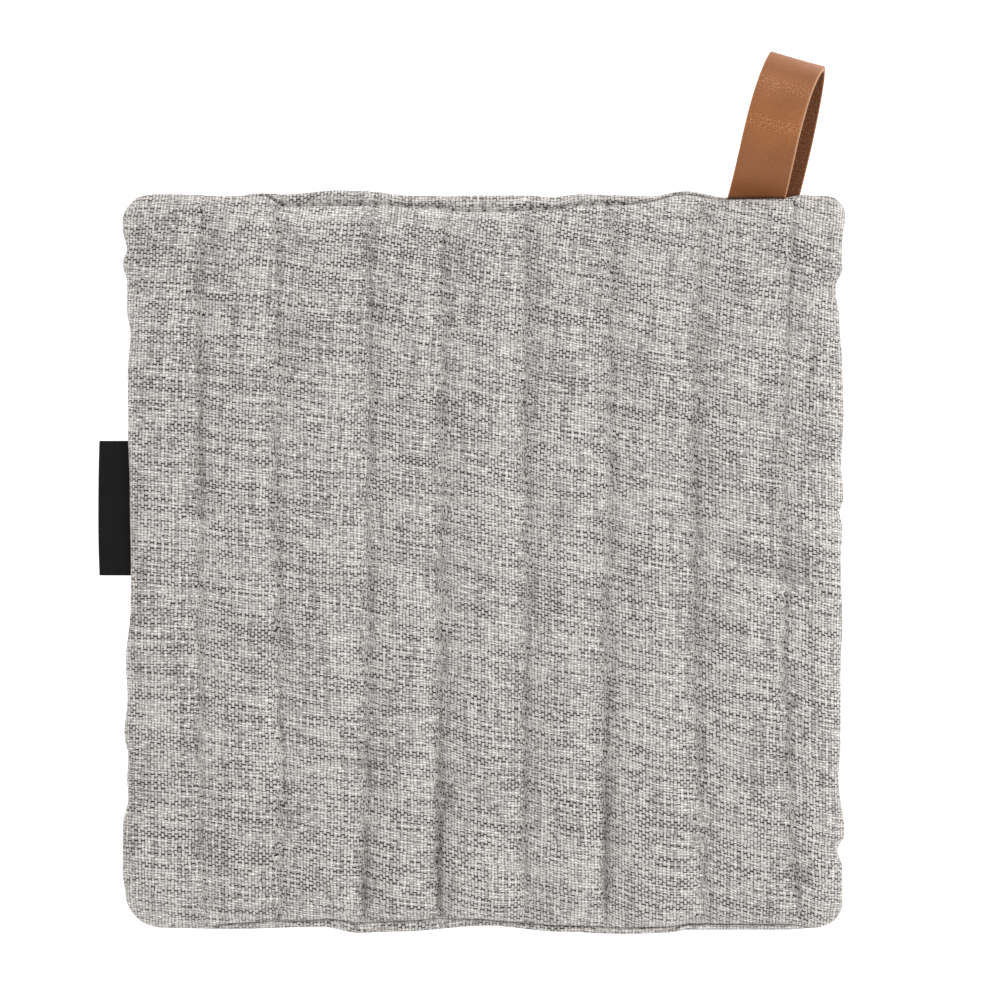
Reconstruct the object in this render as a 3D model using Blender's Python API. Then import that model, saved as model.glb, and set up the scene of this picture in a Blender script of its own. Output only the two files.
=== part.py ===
"""Quilted pot holder, lying on its back: a wadded square pad with sewn channels, a leather
hanging loop in the top seam and a folded tape label in the left seam.

Metres, +Z up. The origin is on the flat underside, at the middle of the pad. +X is right and
+Y is towards the loop's edge. The tables are in millimetres.
"""

import math
from collections import namedtuple

import bmesh
import bpy
from mathutils import Vector

MM = 0.001
CLEARANCE = 0.3  # mm, kept between a sewn-in end and its pocket in the pad

# ---------------------------------------------------------------- driving sizes, in millimetres

PAD_WIDTH = 199.6
PAD_LENGTH = 205.3
CREST = 10.4  # height of a full pillow's top above the surface the pad lies on
SHOULDER = 12.0  # how far in from the seam the face takes to reach its full height
CHANNEL_RISE = 1.3  # how far a sewn channel lifts the cloth on the underside
CHANNEL_REACH = 6.0  # half the width of that lifted strip
CHANNEL_PEAK = 1.5  # over 1 draws the lifted strip up to a sharper line
SHARP_ANGLE = math.radians(50)  # edges that turn more than this are shaded sharp

Edge = namedtuple("Edge", "along out")  # place along the edge, and how far it stands out there

LEFT_EDGE = (
    Edge(-93.2, 0.0),
    Edge(-85.4, 0.8),
    Edge(-73.2, 0.7),
    Edge(-66.0, -0.8),
    Edge(-60.4, -0.5),
    Edge(-53.7, -0.8),
    Edge(-48.2, 0.3),
    Edge(-38.2, -0.6),
    Edge(-27.6, -0.1),
    Edge(-13.7, -1.4),
    Edge(-2.1, -1.6),
    Edge(20.1, -1.3),
    Edge(36.8, -0.8),
    Edge(51.8, -0.6),
    Edge(63.2, -1.4),
    Edge(70.7, -0.3),
    Edge(77.4, -0.5),
    Edge(82.9, 0.8),
    Edge(86.8, -0.4),
    Edge(92.6, 0.8),
)
RIGHT_EDGE = (
    Edge(-93.8, -0.3),
    Edge(-85.7, -0.3),
    Edge(-80.4, -1.7),
    Edge(-75.7, 0.3),
    Edge(-61.0, -1.4),
    Edge(-50.7, -0.8),
    Edge(-27.1, -0.8),
    Edge(-17.4, -0.3),
    Edge(0.7, -0.8),
    Edge(9.0, -0.3),
    Edge(13.7, -1.1),
    Edge(17.9, 0.0),
    Edge(26.8, -0.6),
    Edge(41.8, 0.0),
    Edge(54.3, -0.3),
    Edge(66.8, -1.1),
    Edge(76.5, -2.2),
    Edge(81.8, -0.3),
    Edge(89.6, -0.3),
    Edge(96.2, 0.5),
)
BOTTOM_EDGE = (
    Edge(-89.6, -1.1),
    Edge(-70.4, -0.8),
    Edge(-45.1, -1.4),
    Edge(-35.1, 0.3),
    Edge(-23.5, -0.1),
    Edge(0.7, -1.7),
    Edge(21.5, 0.0),
    Edge(39.0, 0.6),
    Edge(50.1, 0.3),
    Edge(57.1, -0.6),
    Edge(83.5, -0.6),
    Edge(91.8, -1.1),
)
TOP_EDGE = (
    Edge(-86.8, -0.3),
    Edge(-70.1, -0.8),
    Edge(-61.3, 0.0),
    Edge(-55.1, -0.3),
    Edge(-41.5, 0.8),
    Edge(-34.0, 0.6),
    Edge(-19.3, -0.7),
    Edge(11.3, -0.6),
    Edge(18.8, -1.1),
    Edge(26.5, -0.3),
    Edge(46.5, -0.8),
    Edge(55.7, 0.6),
    Edge(67.1, -1.1),
    Edge(89.0, -0.7),
)

EDGES = {"left": LEFT_EDGE, "right": RIGHT_EDGE, "bottom": BOTTOM_EDGE, "top": TOP_EDGE}
NEXT_EDGES = {
    "left": ("bottom", "top"),
    "right": ("bottom", "top"),
    "bottom": ("left", "right"),
    "top": ("left", "right"),
}
HALF_SIZES = {
    "left": PAD_LENGTH / 2,
    "right": PAD_LENGTH / 2,
    "bottom": PAD_WIDTH / 2,
    "top": PAD_WIDTH / 2,
}
CORNER_RADII = {
    ("left", "top"): 8.0,
    ("right", "top"): 6.0,
    ("right", "bottom"): 8.5,
    ("left", "bottom"): 11.0,
}

# A sewn channel: where its stitches cross the foot, middle and head of the pad, and how deep they
# draw the face in at those three places.
Channel = namedtuple("Channel", "x_foot x_middle x_head deep_foot deep_middle deep_head")

CHANNELS = (
    Channel(-78.2, -79.0, -79.0, 1.9, 2.4, 2.9),
    Channel(-56.4, -57.3, -57.8, 2.1, 2.1, 1.8),
    Channel(-33.2, -32.2, -31.8, 3.4, 2.5, 2.7),
    Channel(-12.8, -12.0, -10.9, 4.2, 2.7, 2.0),
    Channel(10.9, 11.5, 11.0, 2.2, 2.9, 3.0),
    Channel(33.6, 33.9, 35.2, 3.9, 2.9, 2.1),
    Channel(61.0, 58.1, 60.8, 2.2, 3.0, 2.5),
    Channel(86.6, 82.8, 85.2, 1.9, 1.9, 1.4),
)
PILLOW_RISE = (-0.5, 0.1, 0.3, 0.0, 0.2, 0.1, 0.3, 0.0, -0.6)  # each pillow's own extra crown
PILLOW_LEAN = 1.15  # over 1 moves each pillow's crown to the right of its middle
PILLOW_ROUND = 0.7  # 0.5 is an ellipse, 1 a parabola

# A soft crease across the face: its middle, its direction in degrees, its length, its half width
# and how deep it is. A negative depth is a fold that stands up.
Crease = namedtuple("Crease", "x y turn length half_width deep")

CREASES = (
    Crease(-16.5, -0.7, -10, 34, 3.2, 1.0),
    Crease(-18.0, 5.0, -10, 30, 3.0, -0.5),
    Crease(75.5, -0.7, -20, 34, 3.4, 1.0),
    Crease(73.0, 5.5, -18, 28, 3.0, -0.5),
    Crease(-22.0, 42.2, -15, 22, 3.0, 0.9),
    Crease(39.0, 39.5, -20, 18, 3.0, 0.9),
    Crease(-72.0, 38.0, -14, 16, 3.2, 0.9),
    Crease(-37.5, -56.0, -8, 24, 3.0, 0.8),
    Crease(72.0, 41.0, -5, 34, 3.2, 0.8),
    Crease(89.0, 52.0, 84, 22, 3.0, 1.1),
    Crease(78.5, 26.0, 80, 22, 3.0, 1.0),
    Crease(92.0, -17.0, 0, 14, 2.6, 0.9),
    Crease(92.0, 76.5, 8, 16, 2.4, 1.2),
    Crease(92.0, -80.4, -6, 16, 2.4, 1.2),
    Crease(-92.0, 86.6, 4, 16, 2.2, 1.0),
    Crease(-92.0, -66.0, -4, 18, 2.6, 1.0),
    Crease(-12.4, -64.5, 90, 6, 3.0, 1.4),
)
CREASE_TAIL = 1.25  # over 1 keeps a crease's depth for longer before it fades at its ends

# The rim: the front cloth stops at the seam, and the back cloth rolls up round the edge to meet
# it there. Roll is how far in from the edge the seam lies on each side.
Roll = namedtuple("Roll", "left right bottom top")

SEAM_ROLL = Roll(0.9, 1.6, 3.0, 2.2)
SEAM_HEIGHT = 4.9
ROLL_HEIGHT = 5.3  # crown of the rolled edge, outside the seam
ROLL_CROWN_PLACE = 0.45  # that crown's place, as a share of the way from the edge to the seam
EDGE_HEIGHT = 3.9  # where the rim stands out furthest
OPENED_EDGE_SHARE = 0.8  # how low it lies under an opening, as a share of the lower lip

# Rings below the widest line of the rim: how far in, and how high as a share of EDGE_HEIGHT.
Ring = namedtuple("Ring", "inset share")

LOWER_RINGS = (Ring(0.8, 0.48), Ring(2.6, 0.16))
CONTACT_INSET = 6.0  # where the underside meets the surface

# Shares of a pillow's width at which the face has a column of points. The underside goes without
# the middle one, so each pillow lies on a flat strip.
COLUMN_SHARES = (0.0, 0.14, 0.32, 0.5, 0.68, 0.86)
MIDDLE_SHARE = 0.5
ROWS = 38
END_ROWS = (1.8, 4.2, 7.6)  # closer rows at the pad's head and foot, measured from the seam

# The leather loop: up its front arm, over the fold and back down its rear arm. Its route is
# measured along the strap's lean from the place where it comes out of the seam.
STRAP_WIDTH = 15.6
STRAP_THICKNESS = 1.5
STRAP_EDGE_ROUND = 0.35
STRAP_FOOT = (75.4, 101.0, 4.6)  # where the folded strap comes out of the seam
STRAP_LEAN = math.radians(16.7)  # its lean to the right of +Y
STRAP_SECTIONS = 46
SLOPE_STEP = 0.002  # the share of its route over which its direction is taken
POCKET_REACH = 0.11  # the share of its route that a pocket in the pad's rim takes up
POCKET_SECTIONS = 8
STRAP_TUCK = 5.0  # how far the ends reach into the pad

# Over is up from the seam, aside is to the right, and roll is how far the right edge is raised.
Route = namedtuple("Route", "along over aside roll")

STRAP_ROUTE = (
    Route(-STRAP_TUCK, 0.95, 0.1, 5),
    Route(0.0, 1.0, 0.0, 5),
    Route(5.0, 3.4, -0.3, 8),
    Route(11.0, 6.8, -0.85, 12),
    Route(18.0, 9.3, -1.45, 14),
    Route(25.0, 10.4, -1.75, 14),
    Route(31.0, 10.2, -1.65, 14),
    Route(35.6, 8.6, -1.2, 12),
    Route(38.4, 6.1, -0.6, 8),
    Route(39.3, 3.6, -0.1, 4),
    Route(38.0, 1.2, 0.45, 0),
    Route(34.6, -0.4, 1.2, -3),
    Route(29.0, -1.1, 1.95, -4),
    Route(20.0, -1.2, 2.8, -4),
    Route(10.0, -1.1, 3.4, -2),
    Route(0.0, -0.95, 3.75, 3),
    Route(-STRAP_TUCK, -0.95, 3.8, 4),
)

# The folded label.
LABEL_TOP = 33.8
LABEL_BOTTOM = -3.6
LABEL_THICKNESS = 1.2
LABEL_EDGE = -107.4  # the fold's place along X
LABEL_TUCK = -95.0  # where its sewn ends stop, inside the pad
LABEL_HEIGHT = 4.1  # of its middle, in the seam
LABEL_DROOP = 0.8  # how far its fold hangs below that
LABEL_WAVE = 0.25  # how far the fold waves up and down
LABEL_WAVES = 1.3  # how many such waves along the label
LABEL_BOW = 0.35  # how far the fold bows out at its middle
LABEL_ROWS = 9
FOLD_STEPS = 4

# Where the seam opens for what is sewn into it: the edge, the middle and half width of the
# opening along that edge, and the heights of the two lips.
Opening = namedtuple("Opening", "edge middle half_width lip_above lip_below")

SEAM_OPENINGS = (
    Opening("top", 76.8, 10.6, 7.3, 2.3),
    Opening("left", 15.1, 19.6, 5.7, 3.0),
)
OPENING_FADE = 5.0  # how far past its ends the seam takes to close

# Colours as linear RGB, for plain viewing of the solids.
Finish = namedtuple("Finish", "name color roughness")

CLOTH = Finish("grey_marl_cloth", (0.41, 0.39, 0.37), 0.95)
LEATHER = Finish("tan_leather", (0.36, 0.14, 0.06), 0.5)
TAPE = Finish("black_tape", (0.012, 0.011, 0.012), 0.6)


# ------------------------------------------------------------------------------ small helpers


def smooth(share):
    share = min(max(share, 0.0), 1.0)
    return share * share * (3 - 2 * share)


def mix(a, b, share):
    return a + (b - a) * share


def stands_out(edge, along):
    """How far the edge stands out at a place along it, easing between the table's rows."""
    if along <= edge[0].along:
        return edge[0].out
    for a, b in zip(edge, edge[1:]):
        if along <= b.along:
            return mix(a.out, b.out, smooth((along - a.along) / (b.along - a.along)))
    return edge[-1].out


def through_three(foot, middle, head, y):
    """The value at y of the curve that passes three values at the pad's foot, middle and head."""
    t = 2 * y / PAD_LENGTH
    return middle + t * (head - foot) / 2 + t * t * ((head + foot) / 2 - middle)


def corner_radius(side, other):
    return CORNER_RADII.get((side, other)) or CORNER_RADII[other, side]


def reach(side, along, inset):
    """How far a side stands out, less its inset. Two sides agree where they meet in a corner."""
    own = stands_out(EDGES[side], along) - getattr(inset, side)
    other = NEXT_EDGES[side][along > 0]
    radius = corner_radius(side, other)
    half = HALF_SIZES[side]
    into_corner = smooth((abs(along) - half + radius) / radius)
    if into_corner == 0:
        return own
    own_end = stands_out(EDGES[side], math.copysign(half, along)) - getattr(inset, side)
    positive = side in ("right", "top")
    other_end = stands_out(EDGES[other], HALF_SIZES[other] * (1 if positive else -1))
    other_end -= getattr(inset, other)
    return mix(own, (own_end + other_end) / 2, into_corner)


def side_limits(y, inset):
    """The pad's left and right limits at height y, before its corners are rounded."""
    left = -PAD_WIDTH / 2 - reach("left", y, inset)
    right = PAD_WIDTH / 2 + reach("right", y, inset)
    return left, right


def end_limits(x, inset):
    """The pad's lower and upper limits at x, before its corners are rounded."""
    bottom = -PAD_LENGTH / 2 - reach("bottom", x, inset)
    top = PAD_LENGTH / 2 + reach("top", x, inset)
    return bottom, top


def round_corner(x, y):
    """Moves a point of the square-cornered pad to its place in the round-cornered one."""
    sign_x, sign_y = math.copysign(1, x), math.copysign(1, y)
    side = "right" if x > 0 else "left"
    radius = corner_radius(side, "top" if y > 0 else "bottom")
    past_x = abs(x) - (PAD_WIDTH / 2 - radius)
    past_y = abs(y) - (PAD_LENGTH / 2 - radius)
    if past_x <= 0 or past_y <= 0:
        return x, y
    pull = max(past_x, past_y) / math.hypot(past_x, past_y)
    return (
        sign_x * (PAD_WIDTH / 2 - radius + past_x * pull),
        sign_y * (PAD_LENGTH / 2 - radius + past_y * pull),
    )


def opened(edge, along):
    """How far the seam is opened here, from 0 to 1, and the opening that does it."""
    for opening in SEAM_OPENINGS:
        if opening.edge == edge:
            past = abs(along - opening.middle) - opening.half_width
            return smooth(1 - past / OPENING_FADE), opening
    return 0.0, None


# ------------------------------------------------------------------------------- the pad's form


def channel_lines(y):
    """Where the channels lie at height y, between the two seams at the sides."""
    left, right = side_limits(y, SEAM_ROLL)
    lines = [through_three(c.x_foot, c.x_middle, c.x_head, y) for c in CHANNELS]
    return [left] + lines + [right]


def channel_depths(y):
    depths = [through_three(c.deep_foot, c.deep_middle, c.deep_head, y) for c in CHANNELS]
    return [0.0] + depths + [0.0]


def shoulder(distance):
    """How full the pad is at this distance in from the seam, from 0 to 1."""
    share = min(max(distance / SHOULDER, 0.0), 1.0)
    return math.sqrt(1 - (1 - share) ** 2)


def crease_depth(x, y):
    total = 0.0
    for crease in CREASES:
        turn = math.radians(crease.turn)
        along = (x - crease.x) * math.cos(turn) + (y - crease.y) * math.sin(turn)
        across = (y - crease.y) * math.cos(turn) - (x - crease.x) * math.sin(turn)
        fade = smooth(CREASE_TAIL - 2 * abs(along) / crease.length)
        total += crease.deep * fade * math.exp(-((across / crease.half_width) ** 2))
    return total


def seam_height(x, y):
    """The height of the front cloth's edge: raised where it lies over the loop or the label."""
    height = SEAM_HEIGHT
    for share, opening in (opened("top", x), opened("left", y)):
        near = y > 0 if opening.edge == "top" else x < 0
        if near:
            height += (opening.lip_above - SEAM_HEIGHT) * share
    return height


def face_height(x, y, pillow, share):
    """Height of the quilted face, at this share of a pillow's width."""
    left, right = side_limits(y, SEAM_ROLL)
    bottom, top = end_limits(x, SEAM_ROLL)
    depths = channel_depths(y)
    leaned = share**PILLOW_LEAN
    crown = (4 * leaned * (1 - leaned)) ** PILLOW_ROUND
    full = CREST + PILLOW_RISE[pillow] * crown
    full -= (1 - crown) * mix(depths[pillow], depths[pillow + 1], share)
    full -= crease_depth(x, y)
    swell = shoulder(min(x - left, right - x)) * shoulder(min(y - bottom, top - y))
    low = seam_height(x, y)
    return mix(low, max(full, low), swell)


def underside_height(x, y):
    """Flat on the surface, but for the sewn channels."""
    nearest = min(abs(x - line) for line in channel_lines(y)[1:-1])
    return CHANNEL_RISE * max(0.0, 1 - nearest / CHANNEL_REACH) ** CHANNEL_PEAK


def grid_columns():
    """Every column of the face as its pillow and its share of that pillow's width."""
    pillows = len(CHANNELS) + 1
    columns = [(pillow, share) for pillow in range(pillows) for share in COLUMN_SHARES]
    return columns + [(pillows - 1, 1.0)]


def grid_rows():
    """Every row as its share of the pad's length, closer together at both ends."""
    ends = [distance / PAD_LENGTH for distance in (0.0,) + END_ROWS]
    inner = ROWS - 2 * len(END_ROWS)
    first = ends[-1]
    middle = [mix(first, 1 - first, k / inner) for k in range(1, inner)]
    return ends + middle + [1 - end for end in reversed(ends)]


def grid_place(column, row, inset):
    """A column and row of the grid as a place on the square-cornered pad, inside its inset."""
    pillow, share = column
    nominal_y = mix(-PAD_LENGTH / 2, PAD_LENGTH / 2, row)
    lines = channel_lines(nominal_y)
    lines[0], lines[-1] = side_limits(nominal_y, inset)
    x = mix(lines[pillow], lines[pillow + 1], share)
    bottom, top = end_limits(x, inset)
    return x, mix(bottom, top, row)


def all_round(distance):
    return Roll(distance, distance, distance, distance)


def seam_roll(share):
    """The seam's inset, at this share of the way from the edge to the seam."""
    return Roll(*(value * share for value in SEAM_ROLL))


def rim_height(column, row, plain, lip_share):
    """A ring's height at this border point: lowered below what is sewn into the seam."""
    x, y = grid_place(column, row, SEAM_ROLL)
    height = plain
    if row == 1.0:
        share, opening = opened("top", x)
        height = mix(height, opening.lip_below * lip_share, share)
    if column == (0, 0.0):
        share, opening = opened("left", y)
        height = mix(height, opening.lip_below * lip_share, share)
    return height


def border(columns, rows):
    """The grid's border points in order round the pad, as column and row numbers."""
    last_column, last_row = len(columns) - 1, len(rows) - 1
    foot = [(i, 0) for i in range(last_column)]
    right = [(last_column, j) for j in range(last_row)]
    head = [(i, last_row) for i in range(last_column, 0, -1)]
    left = [(0, j) for j in range(last_row, 0, -1)]
    return foot + right + head + left


def add_point(mesh, x, y, z):
    x, y = round_corner(x, y)
    return mesh.verts.new((x * MM, y * MM, z * MM))


def add_face_grid(mesh, columns, rows):
    points = {}
    for i, column in enumerate(columns):
        for j, row in enumerate(rows):
            x, y = grid_place(column, row, SEAM_ROLL)
            points[i, j] = add_point(mesh, x, y, face_height(x, y, *column))
    for i in range(len(columns) - 1):
        for j in range(len(rows) - 1):
            mesh.faces.new(
                (points[i, j], points[i + 1, j], points[i + 1, j + 1], points[i, j + 1])
            )
    return points


def add_underside(mesh, columns, rows, ring):
    """The underside's coarser grid. Its border points are the last rim ring's."""
    kept_i = [i for i, (_, share) in enumerate(columns) if share != MIDDLE_SHARE]
    kept_j = [j for j in range(len(rows)) if j % 2 == 0]
    points = dict(ring)
    for i in kept_i[1:-1]:
        for j in kept_j[1:-1]:
            x, y = grid_place(columns[i], rows[j], all_round(CONTACT_INSET))
            points[i, j] = add_point(mesh, x, y, underside_height(x, y))
    for i0, i1 in zip(kept_i, kept_i[1:]):
        for j0, j1 in zip(kept_j, kept_j[1:]):
            outline = [(i, j0) for i in range(i0, i1)]
            outline += [(i1, j) for j in range(j0, j1)]
            outline += [(i, j1) for i in range(i1, i0, -1)]
            outline += [(i0, j) for j in range(j1, j0, -1)]
            loop = [points[at] for at in outline if at in points]
            mesh.faces.new(loop[::-1])


def add_ring(mesh, columns, rows, inset, height_of):
    ring = {}
    for i, j in border(columns, rows):
        x, y = grid_place(columns[i], rows[j], inset)
        ring[i, j] = add_point(mesh, x, y, height_of(columns[i], rows[j], x, y))
    return ring


def join_rings(mesh, order, upper, lower):
    for at, after in zip(order, order[1:] + order[:1]):
        mesh.faces.new((upper[at], lower[at], lower[after], upper[after]))


def build_pad(finish):
    columns, rows = grid_columns(), grid_rows()
    order = border(columns, rows)
    mesh = bmesh.new()
    face = add_face_grid(mesh, columns, rows)
    rings = [{at: face[at] for at in order}]

    def roll_crown(column, row, x, y):
        return rim_height(column, row, ROLL_HEIGHT, 1.0)

    def widest(column, row, x, y):
        return rim_height(column, row, EDGE_HEIGHT, OPENED_EDGE_SHARE)

    def on_surface(column, row, x, y):
        return underside_height(x, y)

    rings.append(add_ring(mesh, columns, rows, seam_roll(ROLL_CROWN_PLACE), roll_crown))
    rings.append(add_ring(mesh, columns, rows, all_round(0.0), widest))
    for lower in LOWER_RINGS:

        def tucked_under(column, row, x, y, share=lower.share):
            return widest(column, row, x, y) * share

        rings.append(add_ring(mesh, columns, rows, all_round(lower.inset), tucked_under))
    rings.append(add_ring(mesh, columns, rows, all_round(CONTACT_INSET), on_surface))
    for upper, lower in zip(rings, rings[1:]):
        join_rings(mesh, order, upper, lower)
    add_underside(mesh, columns, rows, rings[-1])
    return finished_object("pad", mesh, finish)


# ------------------------------------------------------------------------------ the loop's form


def strap_route_at(share):
    """The route's values at this share of it, on a smooth curve."""
    spans = len(STRAP_ROUTE) - 1
    span = min(int(share * spans), spans - 1)
    t = share * spans - span
    rows = [STRAP_ROUTE[min(max(span + k, 0), spans)] for k in (-1, 0, 1, 2)]
    weights = (
        (-t + 2 * t**2 - t**3) / 2,
        (2 - 5 * t**2 + 3 * t**3) / 2,
        (t + 4 * t**2 - 3 * t**3) / 2,
        (-(t**2) + t**3) / 2,
    )
    return Route(*(sum(w * value for w, value in zip(weights, column)) for column in zip(*rows)))


def strap_place(share):
    """A point on the strap's middle line, and the strap's own width direction there."""
    along, over, aside, degrees = strap_route_at(share)
    lean = Vector((math.sin(STRAP_LEAN), math.cos(STRAP_LEAN), 0))
    right = Vector((math.cos(STRAP_LEAN), -math.sin(STRAP_LEAN), 0))
    roll = math.radians(degrees)
    across = right * math.cos(roll) + Vector((0, 0, math.sin(roll)))
    place = Vector(STRAP_FOOT) + lean * along + right * aside + Vector((0, 0, over))
    return place, across


def strap_profile(width, thickness, rounding):
    """The strap's section, across and through, with its four edges eased."""
    w, t, r = width / 2, thickness / 2, rounding
    if r == 0:
        return ((-w, -t), (w, -t), (w, t), (-w, t))
    return (
        (-w + r, -t),
        (w - r, -t),
        (w, -t + r),
        (w, t - r),
        (w - r, t),
        (-w + r, t),
        (-w, t - r),
        (-w, -t + r),
    )


def sweep(mesh, profile, shares):
    """A closed solid: the profile carried along the strap's route."""
    rings = []
    for share in shares:
        within = min(max(share, 0.0), 1.0)
        place, across = strap_place(within)
        before = strap_place(max(within - SLOPE_STEP, 0.0))[0]
        after = strap_place(min(within + SLOPE_STEP, 1.0))[0]
        forward = (after - before).normalized()
        out = across.cross(forward).normalized()
        level = forward.cross(out)
        past_end = (share - within) * (len(STRAP_ROUTE) - 1) * STRAP_TUCK
        place = place + forward * past_end
        rings.append(
            [mesh.verts.new((place + level * a + out * b) * MM) for a, b in profile]
        )
    for ring, following in zip(rings, rings[1:]):
        for k in range(len(profile)):
            n = (k + 1) % len(profile)
            mesh.faces.new((ring[k], ring[n], following[n], following[k]))
    mesh.faces.new(rings[0][::-1])
    mesh.faces.new(rings[-1])


def build_loop(finish):
    mesh = bmesh.new()
    shares = [k / STRAP_SECTIONS for k in range(STRAP_SECTIONS + 1)]
    sweep(mesh, strap_profile(STRAP_WIDTH, STRAP_THICKNESS, STRAP_EDGE_ROUND), shares)
    return finished_object("hanging_loop", mesh, finish)


def strap_pocket(name, first, last):
    """A cutter round one sewn-in end of the strap, with its clearance."""
    mesh = bmesh.new()
    profile = strap_profile(
        STRAP_WIDTH + 2 * CLEARANCE, STRAP_THICKNESS + 2 * CLEARANCE, 0
    )
    shares = [mix(first, last, k / POCKET_SECTIONS) for k in range(POCKET_SECTIONS + 1)]
    sweep(mesh, profile, shares)
    return cutter(name, mesh)


# ----------------------------------------------------------------------------- the label's form


def label_slab(mesh, grow, inner_end):
    """The folded tape as one slab with a round fold, wavy along its length."""
    half = LABEL_THICKNESS / 2 + grow
    rows = []
    for k in range(LABEL_ROWS + 1):
        share = k / LABEL_ROWS
        y = mix(LABEL_BOTTOM - grow, LABEL_TOP + grow, share)
        wave = LABEL_WAVE * math.sin(2 * math.pi * LABEL_WAVES * share)
        bow = LABEL_BOW * math.sin(share * math.pi)
        edge = LABEL_EDGE + LABEL_BOW - bow - grow + half
        section = [(inner_end, LABEL_HEIGHT + half)]
        for n in range(FOLD_STEPS + 1):
            turn = math.pi * (0.5 + n / FOLD_STEPS)
            section.append(
                (
                    edge + half * math.cos(turn),
                    LABEL_HEIGHT - LABEL_DROOP + wave + half * math.sin(turn),
                )
            )
        section.append((inner_end, LABEL_HEIGHT - half))
        rows.append([mesh.verts.new((x * MM, y * MM, z * MM)) for x, z in section])
    for row, following in zip(rows, rows[1:]):
        for k in range(len(row)):
            n = (k + 1) % len(row)
            mesh.faces.new((row[k], row[n], following[n], following[k]))
    mesh.faces.new(rows[0][::-1])
    mesh.faces.new(rows[-1])


def build_label(finish):
    mesh = bmesh.new()
    label_slab(mesh, 0.0, LABEL_TUCK)
    return finished_object("side_label", mesh, finish)


# --------------------------------------------------------------------------------- objects


def material_of(finish):
    material = bpy.data.materials.new(finish.name)
    material.use_nodes = True
    shader = material.node_tree.nodes["Principled BSDF"]
    shader.inputs["Base Color"].default_value = (*finish.color, 1.0)
    shader.inputs["Roughness"].default_value = finish.roughness
    shader.inputs["Metallic"].default_value = 0.0
    material.diffuse_color = (*finish.color, 1.0)
    return material


def new_object(name, mesh):
    bmesh.ops.recalc_face_normals(mesh, faces=mesh.faces)
    data = bpy.data.meshes.new(name)
    mesh.to_mesh(data)
    mesh.free()
    made = bpy.data.objects.new(name, data)
    bpy.context.scene.collection.objects.link(made)
    return made


def finished_object(name, mesh, finish):
    made = new_object(name, mesh)
    made.data.materials.append(material_of(finish))
    made.data.shade_smooth()
    made.data.set_sharp_from_angle(angle=SHARP_ANGLE)
    return made


def cutter(name, mesh):
    made = new_object(name, mesh)
    made.display_type = "WIRE"
    made.hide_render = True
    return made


def cut_pocket(target, tool):
    cut = target.modifiers.new(tool.name, "BOOLEAN")
    cut.operation = "DIFFERENCE"
    cut.solver = "MANIFOLD"
    cut.object = tool


def clear_scene():
    for item in list(bpy.data.objects):
        bpy.data.objects.remove(item)


def main():
    clear_scene()
    pad = build_pad(CLOTH)
    build_loop(LEATHER)
    build_label(TAPE)

    end_gap = CLEARANCE / STRAP_TUCK / (len(STRAP_ROUTE) - 1)
    cut_pocket(pad, strap_pocket("front_end_pocket", -end_gap, POCKET_REACH))
    cut_pocket(pad, strap_pocket("rear_end_pocket", 1 - POCKET_REACH, 1 + end_gap))
    label_pocket = bmesh.new()
    label_slab(label_pocket, CLEARANCE, LABEL_TUCK + CLEARANCE)
    cut_pocket(pad, cutter("label_pocket", label_pocket))


main()
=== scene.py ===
"""The looks of the quilted pot holder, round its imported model: marled cloth over wadding, channel
and closing stitches, a leather hanging loop and a woven label, with a white floor, soft light
and a camera straight above.

Objects are in metres and the tables in millimetres. +X is right, +Y is towards the loop's edge,
and Z = 0 is the surface that the pad lies on.
"""

import math
from collections import namedtuple
from functools import partialmethod

import bpy
import numpy as np
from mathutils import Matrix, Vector


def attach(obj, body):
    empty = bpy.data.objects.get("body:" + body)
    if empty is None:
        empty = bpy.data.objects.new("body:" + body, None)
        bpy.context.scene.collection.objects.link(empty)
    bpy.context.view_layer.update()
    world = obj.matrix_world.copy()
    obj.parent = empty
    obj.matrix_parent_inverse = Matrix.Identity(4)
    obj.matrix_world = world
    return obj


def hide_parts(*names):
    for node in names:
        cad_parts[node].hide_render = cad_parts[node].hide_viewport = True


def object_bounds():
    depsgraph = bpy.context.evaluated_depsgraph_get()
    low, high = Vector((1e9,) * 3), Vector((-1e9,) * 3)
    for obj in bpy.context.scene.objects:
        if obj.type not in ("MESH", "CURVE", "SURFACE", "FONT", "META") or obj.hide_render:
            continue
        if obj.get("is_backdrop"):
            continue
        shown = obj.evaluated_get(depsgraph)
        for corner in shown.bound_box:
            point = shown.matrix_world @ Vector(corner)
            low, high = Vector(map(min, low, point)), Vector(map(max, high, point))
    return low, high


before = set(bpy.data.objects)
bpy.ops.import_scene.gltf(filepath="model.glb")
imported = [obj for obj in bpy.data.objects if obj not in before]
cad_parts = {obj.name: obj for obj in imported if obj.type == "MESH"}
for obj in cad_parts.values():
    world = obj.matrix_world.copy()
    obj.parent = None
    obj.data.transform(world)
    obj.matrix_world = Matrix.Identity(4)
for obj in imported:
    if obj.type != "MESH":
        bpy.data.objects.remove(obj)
cad_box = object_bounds()

MM = 0.001
TINY = 1e-9


def table(kind, *rows):
    """These rows of values, as named tuples of this kind."""
    return tuple(kind(*row) for row in rows)


# -------------- the pad's sizes, as in the CAD

PAD_WIDTH = 199.6
PAD_LENGTH = 205.3
CREST = 10.4
SHOULDER = 12.0  # how far in from the seam the pad reaches its full height
CHANNEL_RISE = 1.3  # how far a channel draws the underside up
CHANNEL_REACH = 6.0
CHANNEL_RISE_CURVE = 1.5
PILLOW_LEAN = 1.15  # over 1 puts a pillow's crest right of its middle
PILLOW_ROUND = 0.7
PILLOW_RISE = (-0.5, 0.1, 0.3, 0.0, 0.2, 0.1, 0.3, 0.0, -0.6)

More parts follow.
